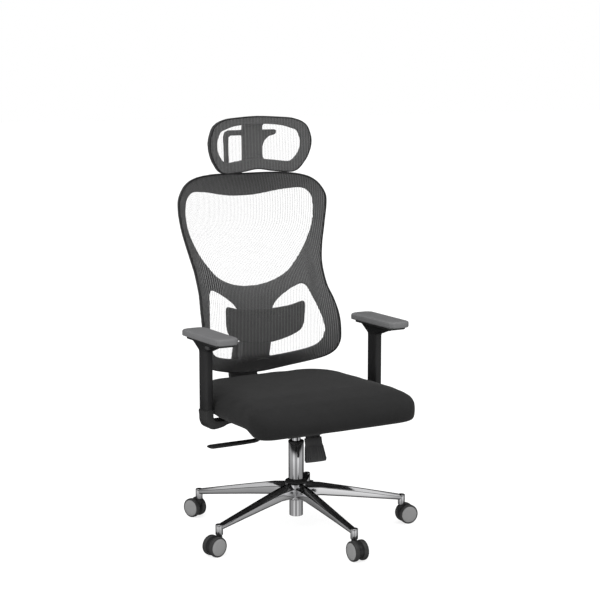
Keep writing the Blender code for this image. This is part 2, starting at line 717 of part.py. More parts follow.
def headrest_frame():
    """The rim, the spine that crosses its opening from behind, and the coat bar on the spine."""
    rim = sheet(head_y, lambda x, z: MESH_THICK + GAP, lambda x, z: HEAD_THICK, HEAD_COLUMNS, HEAD_ROWS,
                HEAD_DATUM)
    combine(rim, "INTERSECT", through(mirrored(HEAD_OUTLINE), HEAD_DATUM))
    combine(rim, "DIFFERENCE", through(mirrored(HEAD_OPENING), HEAD_DATUM))
    spine = prism([(.241, 1.264), (.241, 1.256), (.262, 1.244), (.262, 1.150), (.244, 1.132), (.244, 1.112),
                   (.258, 1.108), (.291, 1.110), (.291, 1.258), (.279, 1.266)], "X", -.031, .031)
    bar = prism([(-.031, 1.214), (-.076, 1.214), (-.080, 1.208), (-.078, 1.150), (-.078, 1.108), (-.094, 1.108),
                 (-.095, 1.216), (-.090, 1.227), (-.080, 1.231), (.086, 1.231), (.0935, 1.225), (.0935, 1.220),
                 (.086, 1.214), (.066, 1.209), (.050, 1.196), (.040, 1.170), (.030, 1.150)], "Y", .283, .2908)
    foot = block((-.094, .240, 1.108), (-.078, .287, 1.124))
    ear = [(.285, 1.1095), (.306, 1.1095), (.314, 1.116), (.314, 1.128), (.306, 1.1345), (.285, 1.1345)]
    ears = [prism(ear, "X", low, low + .0105) for low in (-.0305, .0200)]
    combine(rim, "UNION", spine)
    combine(rim, "UNION", bar)
    combine(rim, "UNION", foot, *ears)
    pin_hole = rod(HEAD_HINGE - Vector((.05, 0, 0)), HEAD_HINGE + Vector((.05, 0, 0)), .0043, 14)
    return combine(rim, "DIFFERENCE", pin_hole)


def headrest_mesh():
    skin = sheet(head_y, lambda x, z: 0, lambda x, z: MESH_THICK, HEAD_COLUMNS, HEAD_ROWS, HEAD_DATUM)
    return combine(skin, "INTERSECT", through(mirrored(HEAD_OUTLINE), HEAD_DATUM))


def headrest_post():
    """The cranked bar that slides in the back's guide and carries the hinge."""
    post = prism([(.3770, 1.016), (.3890, 1.016), (.3890, 1.104), (.380, 1.118), (.360, 1.1275), (.330, 1.1290),
                  (.303, 1.1285), (.303, 1.1155), (.345, 1.1160), (.364, 1.110), (.3770, 1.098)], "X", -.018, .018)
    combine(post, "UNION", rod(HEAD_HINGE - Vector((.018, 0, 0)), HEAD_HINGE + Vector((.018, 0, 0)), .0095, 20))
    bore = rod(HEAD_HINGE - Vector((.05, 0, 0)), HEAD_HINGE + Vector((.05, 0, 0)), .0043, 14)
    return combine(post, "DIFFERENCE", bore)


def headrest_pin():
    return rod(HEAD_HINGE - Vector((.0325, 0, 0)), HEAD_HINGE + Vector((.0325, 0, 0)), .0040, 14)


# --- The whole chair -------------------------------------------------------------------------------------------

def build():
    clear_scene()
    chrome = finish_of("chrome", (.62, .62, .64), .12, 1)
    steel = finish_of("steel", (.35, .35, .36), .35, 1)
    black_steel = finish_of("black_steel", (.02, .02, .02), .45, 0)
    plastic = finish_of("black_plastic", (.018, .018, .019), .5, 0)
    rubber = finish_of("caster_tread", (.03, .03, .03), .5, 0)
    pad = finish_of("arm_pad", (.035, .035, .037), .55, 0)
    fabric = finish_of("seat_fabric", (.012, .012, .012), .9, 0)
    weave = finish_of("mesh_fabric", (.20, .20, .20), .8, 0)

    add("star_base", star_base(), chrome)
    casters(rubber, plastic, steel)
    add("column_tube", column_tube(), chrome)
    add("column_bush", column_bush(), plastic)
    add("piston_rod", piston_rod(), steel)

    lift = pivot("lift_slide", (0, 0, CYLINDER_TOP))
    add("gas_cylinder", gas_cylinder(), chrome, lift)
    add("release_pin", release_pin(), steel, lift)
    add("tilt_housing", tilt_housing(), black_steel, lift)
    add("tilt_axle", tilt_axle(), steel, lift)
    lever = pivot("lever_pivot", LEVER_AXIS)
    add("lever_cam", lever_cam(), black_steel, lever)
    add("height_lever", height_lever(), plastic, lever)
    knob = pivot("knob_pivot", KNOB_BASE)
    add("tilt_spring", tilt_spring(), steel, knob)
    add("tension_bolt", tension_bolt(), steel, knob)
    add("tension_knob", tension_knob(), plastic, knob)

    tilt = pivot("tilt_pivot", TILT_AXIS)
    add("tilt_plate", tilt_plate(), black_steel, tilt)
    add("seat_pan", seat_pan(), plastic, tilt)
    add("seat_cushion", seat_cushion(), fabric, tilt)
    both_arms({"arm_bracket": black_steel, "arm_sleeve": plastic, "arm_button": plastic, "arm_pad_plate": plastic,
               "arm_pad": pad})
    add("back_bracket", back_bracket(), black_steel, tilt)
    add("back_frame", back_frame(), plastic, tilt)
    add("back_mesh", back_mesh(), weave, tilt)
    add("lumbar_pad", lumbar_pad(), plastic, tilt)
    add("lumbar_slider", lumbar_slider(), plastic, tilt)

    hinge = pivot("headrest_hinge", HEAD_HINGE)
    add("headrest_post", headrest_post(), plastic, hinge)
    add("headrest_pin", headrest_pin(), steel, hinge)
    add("headrest_frame", headrest_frame(), plastic, hinge)
    add("headrest_mesh", headrest_mesh(), weave, hinge)

    for obj in bpy.data.objects:
        if obj.parent is None:
            obj.location -= BOX_MIDDLE


build()
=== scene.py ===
"""The looks of a swivel office chair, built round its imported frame.

Every piece is drawn from the foot of the column's axis, in metres, and place() moves it to the row's origin.
"""

from math import atan2, cos, pi, radians, sin

import bmesh
import bpy
from mathutils import Matrix, Vector


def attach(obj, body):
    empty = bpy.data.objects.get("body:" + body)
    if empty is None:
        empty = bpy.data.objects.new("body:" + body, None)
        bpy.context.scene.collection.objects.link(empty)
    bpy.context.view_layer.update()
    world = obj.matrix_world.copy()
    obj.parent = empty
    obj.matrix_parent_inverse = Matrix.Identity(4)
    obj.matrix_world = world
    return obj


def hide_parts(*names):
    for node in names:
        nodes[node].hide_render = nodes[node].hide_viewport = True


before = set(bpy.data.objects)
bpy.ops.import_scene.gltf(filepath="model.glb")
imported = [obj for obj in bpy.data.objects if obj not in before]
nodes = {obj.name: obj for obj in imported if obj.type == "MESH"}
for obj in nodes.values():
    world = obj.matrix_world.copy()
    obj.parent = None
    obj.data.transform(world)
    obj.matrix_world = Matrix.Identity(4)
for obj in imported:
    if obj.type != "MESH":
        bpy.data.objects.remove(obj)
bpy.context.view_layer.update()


# --- Studio -----------------------------------------------------------------
# A white floor that runs into a white room. A large soft key light stands on one side and a weaker fill on the
# other, the room glows from above, and the chrome sees grey walls with dark flags between bright strips.

COLUMN_FOOT = Vector((0.0, -0.0065, 0.0))     # the column's axis, from the row's origin
CAMERA_AT = Vector((-2.390, -4.1085, 1.453))
CAMERA_TURN = (radians(90 - 8.723), 0, radians(-30.372))
LENS_MM = 94.4
SENSOR_MM = 36
FLOOR_SIZE = 30
FLOOR_DROP = .0003                            # keeps the floor clear of the treads
FLOOR_GREY = .26
FLOOR_GLOW = .77                              # the rest of its white, so that the shadows stay pale
WHITE = (1, 1, 1, 1)
COLOUR_A, COLOUR_B, COLOUR_OUT = 6, 7, 2      # a Mix node's colour sockets


def studio_camera():
    camera = bpy.data.objects.new("camera", bpy.data.cameras.new("camera"))
    camera.data.lens = LENS_MM
    camera.data.sensor_width = SENSOR_MM
    camera.location = CAMERA_AT
    camera.rotation_euler = CAMERA_TURN
    bpy.context.collection.objects.link(camera)
    bpy.context.scene.camera = camera


def studio_floor():
    bm = bmesh.new()
    bmesh.ops.create_grid(bm, x_segments=1, y_segments=1, size=FLOOR_SIZE)
    bmesh.ops.translate(bm, vec=(0, 0, -FLOOR_DROP), verts=bm.verts)
    mesh = bpy.data.meshes.new("floor")
    bm.to_mesh(mesh)
    bm.free()
    floor = bpy.data.objects.new("floor", mesh)
    bpy.context.collection.objects.link(floor)
    paint = bpy.data.materials.new("floor_paint")
    paint.use_nodes = True
    shader = paint.node_tree.nodes["Principled BSDF"]
    shader.inputs["Base Color"].default_value = (FLOOR_GREY, FLOOR_GREY, FLOOR_GREY, 1)
    shader.inputs["Roughness"].default_value = .9
    shader.inputs["Specular IOR Level"].default_value = 0
    shader.inputs["Emission Color"].default_value = WHITE
    shader.inputs["Emission Strength"].default_value = FLOOR_GLOW
    mesh.materials.append(paint)
    floor.visible_glossy = False


def studio_light(name, at, toward, size, power):
    light = bpy.data.lights.new(name, "AREA")
    light.shape = "SQUARE"
    light.size = size
    light.energy = power
    lamp = bpy.data.objects.new(name, light)
    lamp.location = at
    lamp.rotation_euler = (Vector(toward) - Vector(at)).to_track_quat("-Z", "Y").to_euler()
    lamp.visible_glossy = False
    bpy.context.collection.objects.link(lamp)


def wired(tree, kind, feeds=(), **settings):
    """A new node with these settings, each socket in feeds linked to an output or given a value."""
    node = tree.nodes.new("ShaderNode" + kind)
    for key, value in settings.items():
        setattr(node, key, value)
    for socket, feed in dict(feeds).items():
        if isinstance(feed, bpy.types.NodeSocket):
            tree.links.new(feed, node.inputs[socket])
        else:
            node.inputs[socket].default_value = feed
    return node


def reckoned(tree, operation, first, second):
    """The result of one step of arithmetic."""
    return wired(tree, "Math", {0: first, 1: second}, operation=operation).outputs[0]


def grey_ramp(tree, share, stops):
    """A ramp of greys, from (place, grey) pairs."""
    ramp = wired(tree, "ValToRGB", {"Fac": share})
    elements = ramp.color_ramp.elements
    for (place_at, grey), element in zip(stops, elements):
        element.position = place_at
        element.color = (grey, grey, grey, 1)
    for place_at, grey in stops[2:]:
        elements.new(place_at).color = (grey, grey, grey, 1)
    return ramp.outputs["Color"]


def studio_room():
    """Seen directly the room is white, and it lights the chair more from overhead. Mirrors see bands of grey."""
    world = bpy.data.worlds.new("room")
    world.use_nodes = True
    bpy.context.scene.world = world
    tree = world.node_tree
    tree.nodes.clear()
    where = wired(tree, "TexCoord")
    turn = wired(tree, "VectorRotate", {"Vector": where.outputs["Generated"],
                                        "Angle": -atan2(CAMERA_AT.y, CAMERA_AT.x)}, rotation_type="Z_AXIS")
    parts = wired(tree, "SeparateXYZ", {"Vector": turn.outputs["Vector"]})
    around = reckoned(tree, "ARCTAN2", parts.outputs["Y"], parts.outputs["X"])
    share, height = (
        wired(tree, "MapRange", {"From Min": -most, "From Max": most, "Value": value}).outputs["Result"]
        for value, most in ((around, pi), (parts.outputs["Z"], 1))
    )
    walls = grey_ramp(tree, share, ((0, .004), (.13, .01), (.20, .42), (.36, .50), (.41, 1.25), (.45, .50),
                                    (.53, .40), (.58, 1.2), (.63, .50), (.75, .55), (.82, .14), (.88, .004)))
    ceiling = grey_ramp(tree, height, ((0, .25), (.42, .9), (.47, 1), (.54, .85), (.60, .03), (.76, .02),
                                       (.86, 1.6)))
    both = wired(tree, "Mix", {0: 1, COLOUR_A: walls, COLOUR_B: ceiling}, data_type="RGBA",
                 blend_type="MULTIPLY")
    overhead = grey_ramp(tree, height, ((0, .45), (.50, .42), (.62, .80), (.80, 1.5), (1, 1.7)))
    mirrored_room, soft_room, seen_room = (
        wired(tree, "Background", {"Color": colour}).outputs[0]
        for colour in (both.outputs[COLOUR_OUT], overhead, WHITE)
    )
    path = wired(tree, "LightPath")
    lighting = wired(tree, "MixShader", {0: path.outputs["Is Camera Ray"], 1: soft_room, 2: seen_room})
    split = wired(tree, "MixShader", {0: path.outputs["Is Glossy Ray"], 1: lighting.outputs[0],
                                      2: mirrored_room})
    wired(tree, "OutputWorld", {"Surface": split.outputs[0]})


bpy.context.scene.view_settings.view_transform = "Standard"
studio_camera()
studio_floor()
studio_room()
studio_light("key", (-2.2, -1.6, 3.0), (0, 0, .6), 2.4, 95)
studio_light("fill", (2.6, -2.4, 1.8), (0, 0, .6), 2.0, 30)


# --- Star base --------------------------------------------------------------
# One polished die casting: five tapering arms with a narrow ridge along the top, a hub, and a socket at each
# tip. A black ring sits at the joint between the hub and the column. It is painted reflection: its black stands
# in for the dark reflection in the hub's flange.

LEG_ANGLES = (53.8, 125.8, 197.8, 269.8, 341.8)
BASE_RADIUS = .340
HUB_RADIUS = .033
HUB_TOP = .154
# Along an arm: (reach, half width, underside, top).
ARM_STATIONS = ((.022, .0190, .1060, .1535), (.075, .0165, .1085, .1480), (.160, .0143, .0988, .1312),
                (.250, .0122, .0875, .1125), (.3380, .0111, .0765, .0938))
MARKS_LOW, MARKS_HIGH = .3, .7                # most of the noise lies between these
WELD = 1e-6


def effect_group(name, takes, gives):
    """An empty node group with these number sockets, and its two end nodes."""
    group = bpy.data.node_groups.new(name, "ShaderNodeTree")
    for sockets, way in ((takes, "INPUT"), (gives, "OUTPUT")):
        for socket in sockets:
            group.interface.new_socket(socket, in_out=way, socket_type="NodeSocketFloat")
    return group, group.nodes.new("NodeGroupInput"), group.nodes.new("NodeGroupOutput")


def surface_marks():
    """Grain and marks of handling, by place on the piece. Both run from 0 to 1."""
    group, given, result = effect_group("surface_marks", ("Grains Per Metre", "Marks Per Metre"),
                                        ("Grain", "Marks"))
    where = wired(group, "TexCoord")
    for per_metre, name, detail in (("Grains Per Metre", "Grain", 2), ("Marks Per Metre", "Marks", 5)):
        noise = wired(group, "TexNoise", {"Vector": where.outputs["Object"], "Scale": given.outputs[per_metre],
                                          "Detail": detail, "Roughness": .6})
        group.links.new(noise.outputs["Fac"], result.inputs[name])
    return group


SURFACE_MARKS = surface_marks()


def blank_finish(name, constants):
    """An empty material, with the values that are the same all over on the shader's own sockets."""
    material = bpy.data.materials.new(name)
    material.use_nodes = True
    shader = material.node_tree.nodes["Principled BSDF"]
    for socket, value in constants.items():
        shader.inputs[socket].default_value = value
    return material, material.node_tree, shader


def blend_of(tree, share, low, high, target):
    """Runs a colour or a number between two values by a share, into the target socket."""
    if isinstance(low, tuple):
        mix = wired(tree, "Mix", {0: share, COLOUR_A: (*low, 1), COLOUR_B: (*high, 1)}, data_type="RGBA")
        tree.links.new(mix.outputs[COLOUR_OUT], target)
    else:
        span = wired(tree, "MapRange", {"Value": share, "From Min": MARKS_LOW, "From Max": MARKS_HIGH,
                                        "To Min": low, "To Max": high})
        tree.links.new(span.outputs["Result"], target)


def raised(tree, shader, height, relief):
    """Lifts the surface by its height, times the relief in metres."""
    bump = wired(tree, "Bump", {"Distance": relief, "Height": height})
    tree.links.new(bump.outputs["Normal"], shader.inputs["Normal"])


def grained_finish(name, colours, roughness, grains, relief, metallic=0.0, marks=14.0):
    """A finish with a raised grain, whose colour and roughness wander a little with handling."""
    material, tree, shader = blank_finish(name, {"Metallic": metallic})
    texture = wired(tree, "Group", {"Grains Per Metre": grains, "Marks Per Metre": marks},
                    node_tree=SURFACE_MARKS)
    blend_of(tree, texture.outputs["Marks"], *colours, shader.inputs["Base Color"])
    blend_of(tree, texture.outputs["Marks"], *roughness, shader.inputs["Roughness"])
    raised(tree, shader, texture.outputs["Grain"], relief)
    return material


CHROME = grained_finish("polished_chrome", ((.66, .66, .67), (.74, .74, .75)), (.07, .12), 260, .00002, 1.0)
# Black for the ring at the hub: painted reflection, standing in for the dark reflection in the hub's flange.
RING_REFLECTION_BLACK = grained_finish("ring_reflection_black", ((.008, .008, .008), (.014, .014, .014)), (.55, .7), 1400, .00005)


def gathered(*shapes):
    """Several shapes as one."""
    whole = shapes[0]
    for shape in shapes[1:]:
        mesh = bpy.data.meshes.new("shape")
        shape.to_mesh(mesh)
        shape.free()
        whole.from_mesh(mesh)
        bpy.data.meshes.remove(mesh)
    return whole


def looped(bm, points):
    """The edges of a closed loop through the points."""
    verts = [bm.verts.new(point) for point in points]
    return [bm.edges.new(pair) for pair in zip(verts, verts[1:] + verts[:1])]


def bridged(rings, endless=False):
    """A closed skin through rings of points, each with the same count. The ends are filled, or joined."""
    bm = bmesh.new()
    loops = [looped(bm, ring) for ring in rings]
    for first, second in zip(loops, loops[1:] + loops[:1] if endless else loops[1:]):
        bmesh.ops.bridge_loops(bm, edges=first + second)
    for end in () if endless else (loops[0], loops[-1]):
        bmesh.ops.edgeloop_fill(bm, edges=end)
    bmesh.ops.recalc_face_normals(bm, faces=bm.faces)
    return bm


def spun(profile, segments=64):
    """A closed profile of (radius, height) points, spun once round Z."""
    bm = bmesh.new()
    points = [bm.verts.new((r, 0, z)) for r, z in profile]
    edges = []
    for first, second in zip(points, points[1:] + points[:1]):
        if first.co.x > 0 or second.co.x > 0:
            edges.append(bm.edges.new((first, second)))
    bmesh.ops.spin(bm, geom=points + edges, cent=(0, 0, 0), axis=(0, 0, 1), angle=2 * pi, steps=segments,
                   use_merge=True)
    bmesh.ops.remove_doubles(bm, verts=bm.verts, dist=WELD)
    bmesh.ops.recalc_face_normals(bm, faces=bm.faces)
    return bm


def eased(bm, width, segments=3, angle=35):
    """Rounds the edges sharper than the angle."""
    bmesh.ops.recalc_face_normals(bm, faces=bm.faces)
    sharp = [edge for edge in bm.edges if edge.is_manifold and edge.calc_face_angle(0) > radians(angle)]
    bmesh.ops.bevel(bm, geom=sharp, offset=width, offset_type="OFFSET", segments=segments, profile=.5,
                    affect="EDGES", clamp_overlap=True, material=-1)
    return bm


def moved(bm, matrix):
    bmesh.ops.transform(bm, matrix=matrix, verts=bm.verts)
    return bm


def place(name, bm, finish, body, slot, *stands_for, sharp=40):
    """A finished piece in the row's frame, riding on its body in place of its plain parts."""
    bmesh.ops.remove_doubles(bm, verts=bm.verts, dist=WELD)
    bmesh.ops.recalc_face_normals(bm, faces=bm.faces)
    bmesh.ops.translate(bm, vec=COLUMN_FOOT, verts=bm.verts)
    mesh = bpy.data.meshes.new(name)
    bm.to_mesh(mesh)
    bm.free()
    mesh.shade_smooth()
    mesh.set_sharp_from_angle(angle=radians(sharp))
    mesh.materials.append(finish)
    piece = bpy.data.objects.new(name, mesh)
    bpy.context.collection.objects.link(piece)
    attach(piece, body)
    if stands_for:
        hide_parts(*stands_for)
    return piece


def at_tip(angle):
    """Takes a piece from the column's axis to the tip of the arm at this angle."""
    return Matrix.Translation((BASE_RADIUS * cos(angle), BASE_RADIUS * sin(angle), 0))


def base_arm(angle):
    """Seen along the arm, the section has a narrow flat ridge, two sloping shoulders and upright sides."""
    rings = []
    for reach, half, low, high in ARM_STATIONS:
        shoulder = low + (high - low) * .66
        one_side = ((half * .70, low), (half * .98, low + .005), (half, shoulder), (half * .30, high))
        section = one_side + tuple((-side, z) for side, z in reversed(one_side))
        rings.append([(reach, side, z) for side, z in section])
    return moved(eased(bridged(rings), .0016, 3, 28), Matrix.Rotation(angle, 4, "Z"))


def base_socket(angle):
    """The upright end of an arm that holds the caster's stem."""
    r = .0112
    socket = spun([(.0062, .0615), (r - .0008, .0615), (r, .0625), (r, .0915), (r - .0008, .0929),
                   (r - .0025, .0937), (0, .0938), (0, .0885), (.0062, .0885)], 40)
    return moved(socket, at_tip(angle))


hub = spun([(.0214, .102), (HUB_RADIUS - .003, .102), (HUB_RADIUS, .105), (HUB_RADIUS, HUB_TOP - .004),
            (HUB_RADIUS - .0012, HUB_TOP - .0012), (HUB_RADIUS - .004, HUB_TOP), (.0214, HUB_TOP)])
casting = [hub]
for degrees in LEG_ANGLES:
    casting += [base_arm(radians(degrees)), base_socket(radians(degrees))]
place("base_casting", gathered(*casting), CHROME, "base", "chrome", "star_base")
# The black ring is painted reflection: it stands in for the dark reflection in the hub's flange.
ring = spun([(.0216, .1545), (.0335, .1545), (.0345, .1555), (.0345, .1585), (.0330, .1605), (.0240, .1625),
             (.0240, .1560), (.0216, .1552)])
place("base_reflection_ring", ring, RING_REFLECTION_BLACK, "base", "black_plastic")


# --- Casters ----------------------------------------------------------------
# Twin-wheel casters: moulded black wheels with a soft tread and a flat grey cap, on a steel axle through the web
# of a black hood that turns on a steel stem.

WHEEL_RADIUS = .0305
WHEEL_INNER = .0070
WHEEL_OUTER = .0228
CASTER_TRAIL = .018
# The way each wheel axle points, and the side of the stem it trails on, in the order of LEG_ANGLES.
CASTER_TURNS = (330.0, 201.6, 281.6, 180.6, 262.6)
CASTER_SIDES = (-1, 1, 1, -1, -1)

NYLON = grained_finish("black_nylon", ((.007, .007, .0074), (.012, .012, .0125)), (.38, .52), 1900, .00006,
                       marks=22)
TREAD = grained_finish("wheel_tread", ((.016, .016, .016), (.026, .026, .026)), (.42, .6), 900, .00006)
CAP_GREY = grained_finish("cap_grey", ((.17, .17, .17), (.20, .20, .20)), (.4, .5), 1600, .00004)
BARE_STEEL = grained_finish("bare_steel", ((.30, .30, .31), (.38, .38, .39)), (.25, .38), 700, .00003, 1.0)


def pushed(outline, axis, low, high):
    """A flat outline extruded along an axis. Its points are in the other two axes' order."""
    spots = {"X": lambda a, b: (low, a, b), "Y": lambda a, b: (a, low, b), "Z": lambda a, b: (a, b, low)}
    bm = bmesh.new()
    face = bm.faces.new([bm.verts.new(spots[axis](a, b)) for a, b in outline])
    run = bmesh.ops.extrude_face_region(bm, geom=[face])
    step = Vector((0, 0, 0))
    step["XYZ".index(axis)] = high - low
    tips = [item for item in run["geom"] if isinstance(item, bmesh.types.BMVert)]
    bmesh.ops.translate(bm, vec=step, verts=tips)
    bmesh.ops.recalc_face_normals(bm, faces=bm.faces)
    return bm


def between(p0, p1, p2, p3, t):
    """The place at a share of the way from the second to the third of four points on a smooth line."""
    return .5 * (2 * p1 + (p2 - p0) * t + (2 * p0 - 5 * p1 + 4 * p2 - p3) * t**2
                 + (3 * p1 - p0 - 3 * p2 + p3) * t**3)


def rounded(points, steps=4):
    """A closed line with curves through its points."""
    count = len(points)
    spots = [Vector(point) for point in points]
    return [
        tuple(between(*(spots[(i + k) % count] for k in (-1, 0, 1, 2)), step / steps))
        for i in range(count) for step in range(steps)
    ]


def dress(finish, *names):
    """A finish on parts that show as they come from the frame."""
    for name in names:
        nodes[name].data.materials.clear()
        nodes[name].data.materials.append(finish)


def wheel_lay(side):
    """Lays a piece spun round Z along the axle, on the side given."""
    return Matrix.Translation((0, -CASTER_TRAIL, WHEEL_RADIUS)) @ Matrix.Rotation(side * pi / 2, 4, "Y")


def wheel_tread():
    r = WHEEL_RADIUS
    return spun([(.0036, WHEEL_INNER), (r - .0060, WHEEL_INNER), (r - .0024, WHEEL_INNER + .0006),
                 (r - .0007, WHEEL_INNER + .0022), (r, WHEEL_INNER + .0046), (r, WHEEL_OUTER - .0046),
                 (r - .0006, WHEEL_OUTER - .0022), (r - .0020, WHEEL_OUTER - .0006), (r - .0038, WHEEL_OUTER),
                 (r - .0044, WHEEL_OUTER - .0003), (r - .0046, WHEEL_OUTER - .0012), (0, WHEEL_OUTER - .0012),
                 (0, .0190), (.0036, .0190)])


def wheel_cap():
    r = WHEEL_RADIUS - .0050
    return spun([(0, WHEEL_OUTER - .0010), (r, WHEEL_OUTER - .0010), (r, WHEEL_OUTER - .0006),
                 (r - .0006, WHEEL_OUTER - .0001), (r * .55, WHEEL_OUTER + .0001), (0, WHEEL_OUTER + .0002)])


def hood():
    """The web between the wheels, a fender over them and the boss round the stem."""
    web = pushed(rounded([(-.0440, .024), (-.0435, .040), (-.036, .050), (-.020, .0570), (.004, .0575),
                          (.0078, .0520), (.0060, .041), (-.003, .034), (-.008, .022), (-.020, .016),
                          (-.034, .0155)], 3), "X", -.0062, .0062)
    boss = spun([(.0057, .0500), (.0088, .0500), (.0088, .0600), (.0078, .0612), (.0057, .0612)], 40)
    return gathered(eased(web, .0012, 2, 50), boss)


for number, (degrees, turn, side) in enumerate(zip(LEG_ANGLES, CASTER_TURNS, CASTER_SIDES), 1):
    swivel = at_tip(radians(degrees)) @ Matrix.Rotation(radians(turn + (0 if side > 0 else 180)), 4, "Z")
    place(f"hood_{number}", moved(hood(), swivel), NYLON, f"caster_{number}", "black_plastic",
          f"caster_hood_{number}")
    for hand, way in (("left", 1), ("right", -1)):
        body = f"wheel_{hand}_{number}"
        place(f"tread_{hand}_{number}", moved(wheel_tread(), swivel @ wheel_lay(way)), TREAD, body,
              "caster_tread", f"caster_wheel_{hand}_{number}", sharp=50)
        place(f"cap_{hand}_{number}", moved(wheel_cap(), swivel @ wheel_lay(way)), CAP_GREY, body,
              "caster_tread")
    dress(BARE_STEEL, f"caster_stem_{number}", f"caster_axle_{number}")


# --- Column -----------------------------------------------------------------
# The gas lift: a chromed outer tube pressed into the hub, a black guide bush at its top and the chromed cylinder
# that slides in it. The piston rod and the release pin are bare steel.

column = spun([(.0046, .0480), (.0200, .0480), (.0210, .0490), (.0210, .1545), (.0216, .1550), (.0238, .1600),
               (.0238, .2785), (.0230, .2795), (.0216, .2795), (.0216, .1620), (.0190, .1550), (.0190, .0515),
               (.0046, .0515)], 96)
place("column_sleeve", column, CHROME, "base", "chrome", "column_tube")
bush = spun([(.0145, .190), (.0212, .190), (.0212, .2799), (.0246, .2799), (.0246, .2846), (.0234, .2860),
             (.0160, .2860), (.0145, .2850)])
place("guide_bush", bush, NYLON, "base", "black_plastic", "column_bush")
cylinder = spun([(.0053, .075), (.0140, .075), (.0140, .3175), (.0128, .3240), (.0036, .3240), (.0036, .300),
                 (.0110, .300), (.0110, .088), (.0053, .088)], 96)
place("lift_cylinder", cylinder, CHROME, "lift", "chrome", "gas_cylinder")
dress(BARE_STEEL, "piston_rod", "release_pin")


# --- Tilt mechanism ---------------------------------------------------------
# A pressed steel tray in black powder coat, with the tension knob under its nose and the lever on the sitter's
# right. The knob is a ribbed black nylon cup with a smooth collar, round the spring and its bolt.

KNOB_LAY = Matrix.Translation((0, -.119, .244)) @ Matrix.Rotation(radians(-14), 4, "X")
KNOB_RIBS = 24
LEVER_HEIGHT = .338

POWDER_COAT = grained_finish("powder_coat", ((.011, .011, .011), (.018, .018, .018)), (.42, .55), 1500, .00009)
KNOB_NYLON = grained_finish("knob_nylon", ((.030, .030, .031), (.044, .044, .045)), (.42, .55), 1500, .00006)


def knob():
    """Ribs stand round the tapering wall, under the smooth collar."""
    cup = spun([(0, 0), (.0300, 0), (.0318, .0008), (.0326, .0030), (.0275, .0500), (.0268, .0530),
                (.0265, .0560), (.0265, .0730), (.0258, .0740), (.0235, .0740), (.0235, .008), (.0055, .008),
                (.0055, .004), (0, .004)], 72)
    shapes = [cup]
    for i in range(KNOB_RIBS):
        rib = eased(pushed([(.0300, .0045), (.0340, .0055), (.0287, .0470), (.0262, .0490)], "Y", -.0016, .0016),
                    .0008, 2, 40)
        shapes.append(moved(rib, Matrix.Rotation(2 * pi * i / KNOB_RIBS, 4, "Z")))
    return moved(gathered(*shapes), KNOB_LAY)


def knob_shade_sleeve():
    """The smooth sleeve over the spring, from inside the knob's collar up to the tray's nose. It is painted
    shade: a black piece where the spring and its bolt sit in shadow.
    """
    sleeve = spun([(.0205, .0600), (.0225, .0600), (.0225, .0878), (.0205, .0878)], 72)
    return moved(sleeve, KNOB_LAY)


def soft_corners(half_x, half_y, radius, steps=5):
    """A rectangle's outline with quarter-round corners."""
    points = []
    for quarter, (way_x, way_y) in enumerate(((1, 1), (-1, 1), (-1, -1), (1, -1))):
        for k in range(steps + 1):
            turn = pi / 2 * (quarter + k / steps)
            points.append((way_x * (half_x - radius) + radius * cos(turn),
                           way_y * (half_y - radius) + radius * sin(turn)))
    return points


def lever():
    """A round shank that cranks down into a flat paddle with a rounded end."""
    z = LEVER_HEIGHT
    stations = ((-.056, z, .0051, .0051), (-.088, z, .0051, .0051), (-.094, z - .001, .0051, .0050),
                (-.103, z - .005, .0056, .0050), (-.116, .3185, .0066, .0052), (-.128, .3085, .0078, .0053),
                (-.138, .3040, .0088, .0054), (-.150, .3025, .0100, .0054), (-.190, .3020, .0120, .0052),
                (-.230, .3020, .0135, .0049), (-.270, .3020, .0146, .0046), (-.294, .3020, .0148, .0042),
                (-.300, .3021, .0136, .0034), (-.304, .3022, .0105, .0020))
    return bridged([
        [(x, y, height + lift) for y, lift in soft_corners(half, thick, min(half, thick) * .96)]
        for x, height, half, thick in stations
    ])


# The sleeve's black is painted shade over the spring and bolt, which sit in shadow under the tray.
place("spring_shade_sleeve", knob_shade_sleeve(), NYLON, "lift", "black_plastic")
place("knob_cup", knob(), KNOB_NYLON, "tension_knob", "black_plastic", "tension_knob")
place("lever_paddle", lever(), NYLON, "height_lever", "black_plastic", "height_lever", sharp=60)
dress(POWDER_COAT, "tilt_housing", "lever_cam", "tilt_plate")
dress(BARE_STEEL, "tilt_axle", "tension_bolt", "tilt_spring")


def bolt_head(radius, height):
    """A low round head with a hexagon socket, standing on the XY plane."""
    head = spun([(radius * .55, 0), (radius, 0), (radius, height * .55), (radius * .82, height),
                 (radius * .55, height)], 32)
    socket = bmesh.new()
    bmesh.ops.create_cone(socket, cap_ends=True, segments=6, radius1=radius * .60, radius2=radius * .60,
                          depth=height * .4)
    bmesh.ops.translate(socket, vec=(0, 0, height * .2), verts=socket.verts)
    return gathered(head, socket)


def bolts_at(spots, turn=pi, radius=.0070, height=.0042):
    """Bolt heads at these places, hanging head down unless given another turn about X."""
    return [moved(bolt_head(radius, height), Matrix.Translation(spot) @ Matrix.Rotation(turn, 4, "X"))
            for spot in spots]


plate_bolts = bolts_at([(x, y, .3725) for x in (-.070, .070) for y in (-.105, .145)], pi, .0062, .0040)
place("plate_bolts", gathered(*plate_bolts), BARE_STEEL, "seat", "steel")


# --- Seat -------------------------------------------------------------------
# A moulded nylon pan screwed under a block of foam. Black woven polyester is pulled over the foam and stapled
# under the pan, so its top is crowned, its sides pull in, and its front edge rolls over in a waterfall.

PAN_BOTTOM = .379
PAN_TOP = .3895
CUSHION_FOOT = .3899
CUSHION_ROLL = -.186                          # ahead of this the cushion hangs down before the pan
CUSHION_SMOOTHING = 9
AIR_PRESSURE = 4.0
SETTLING_FRAMES = 20
MOST_SWELLING = .006
SEAT_THREADS = 900


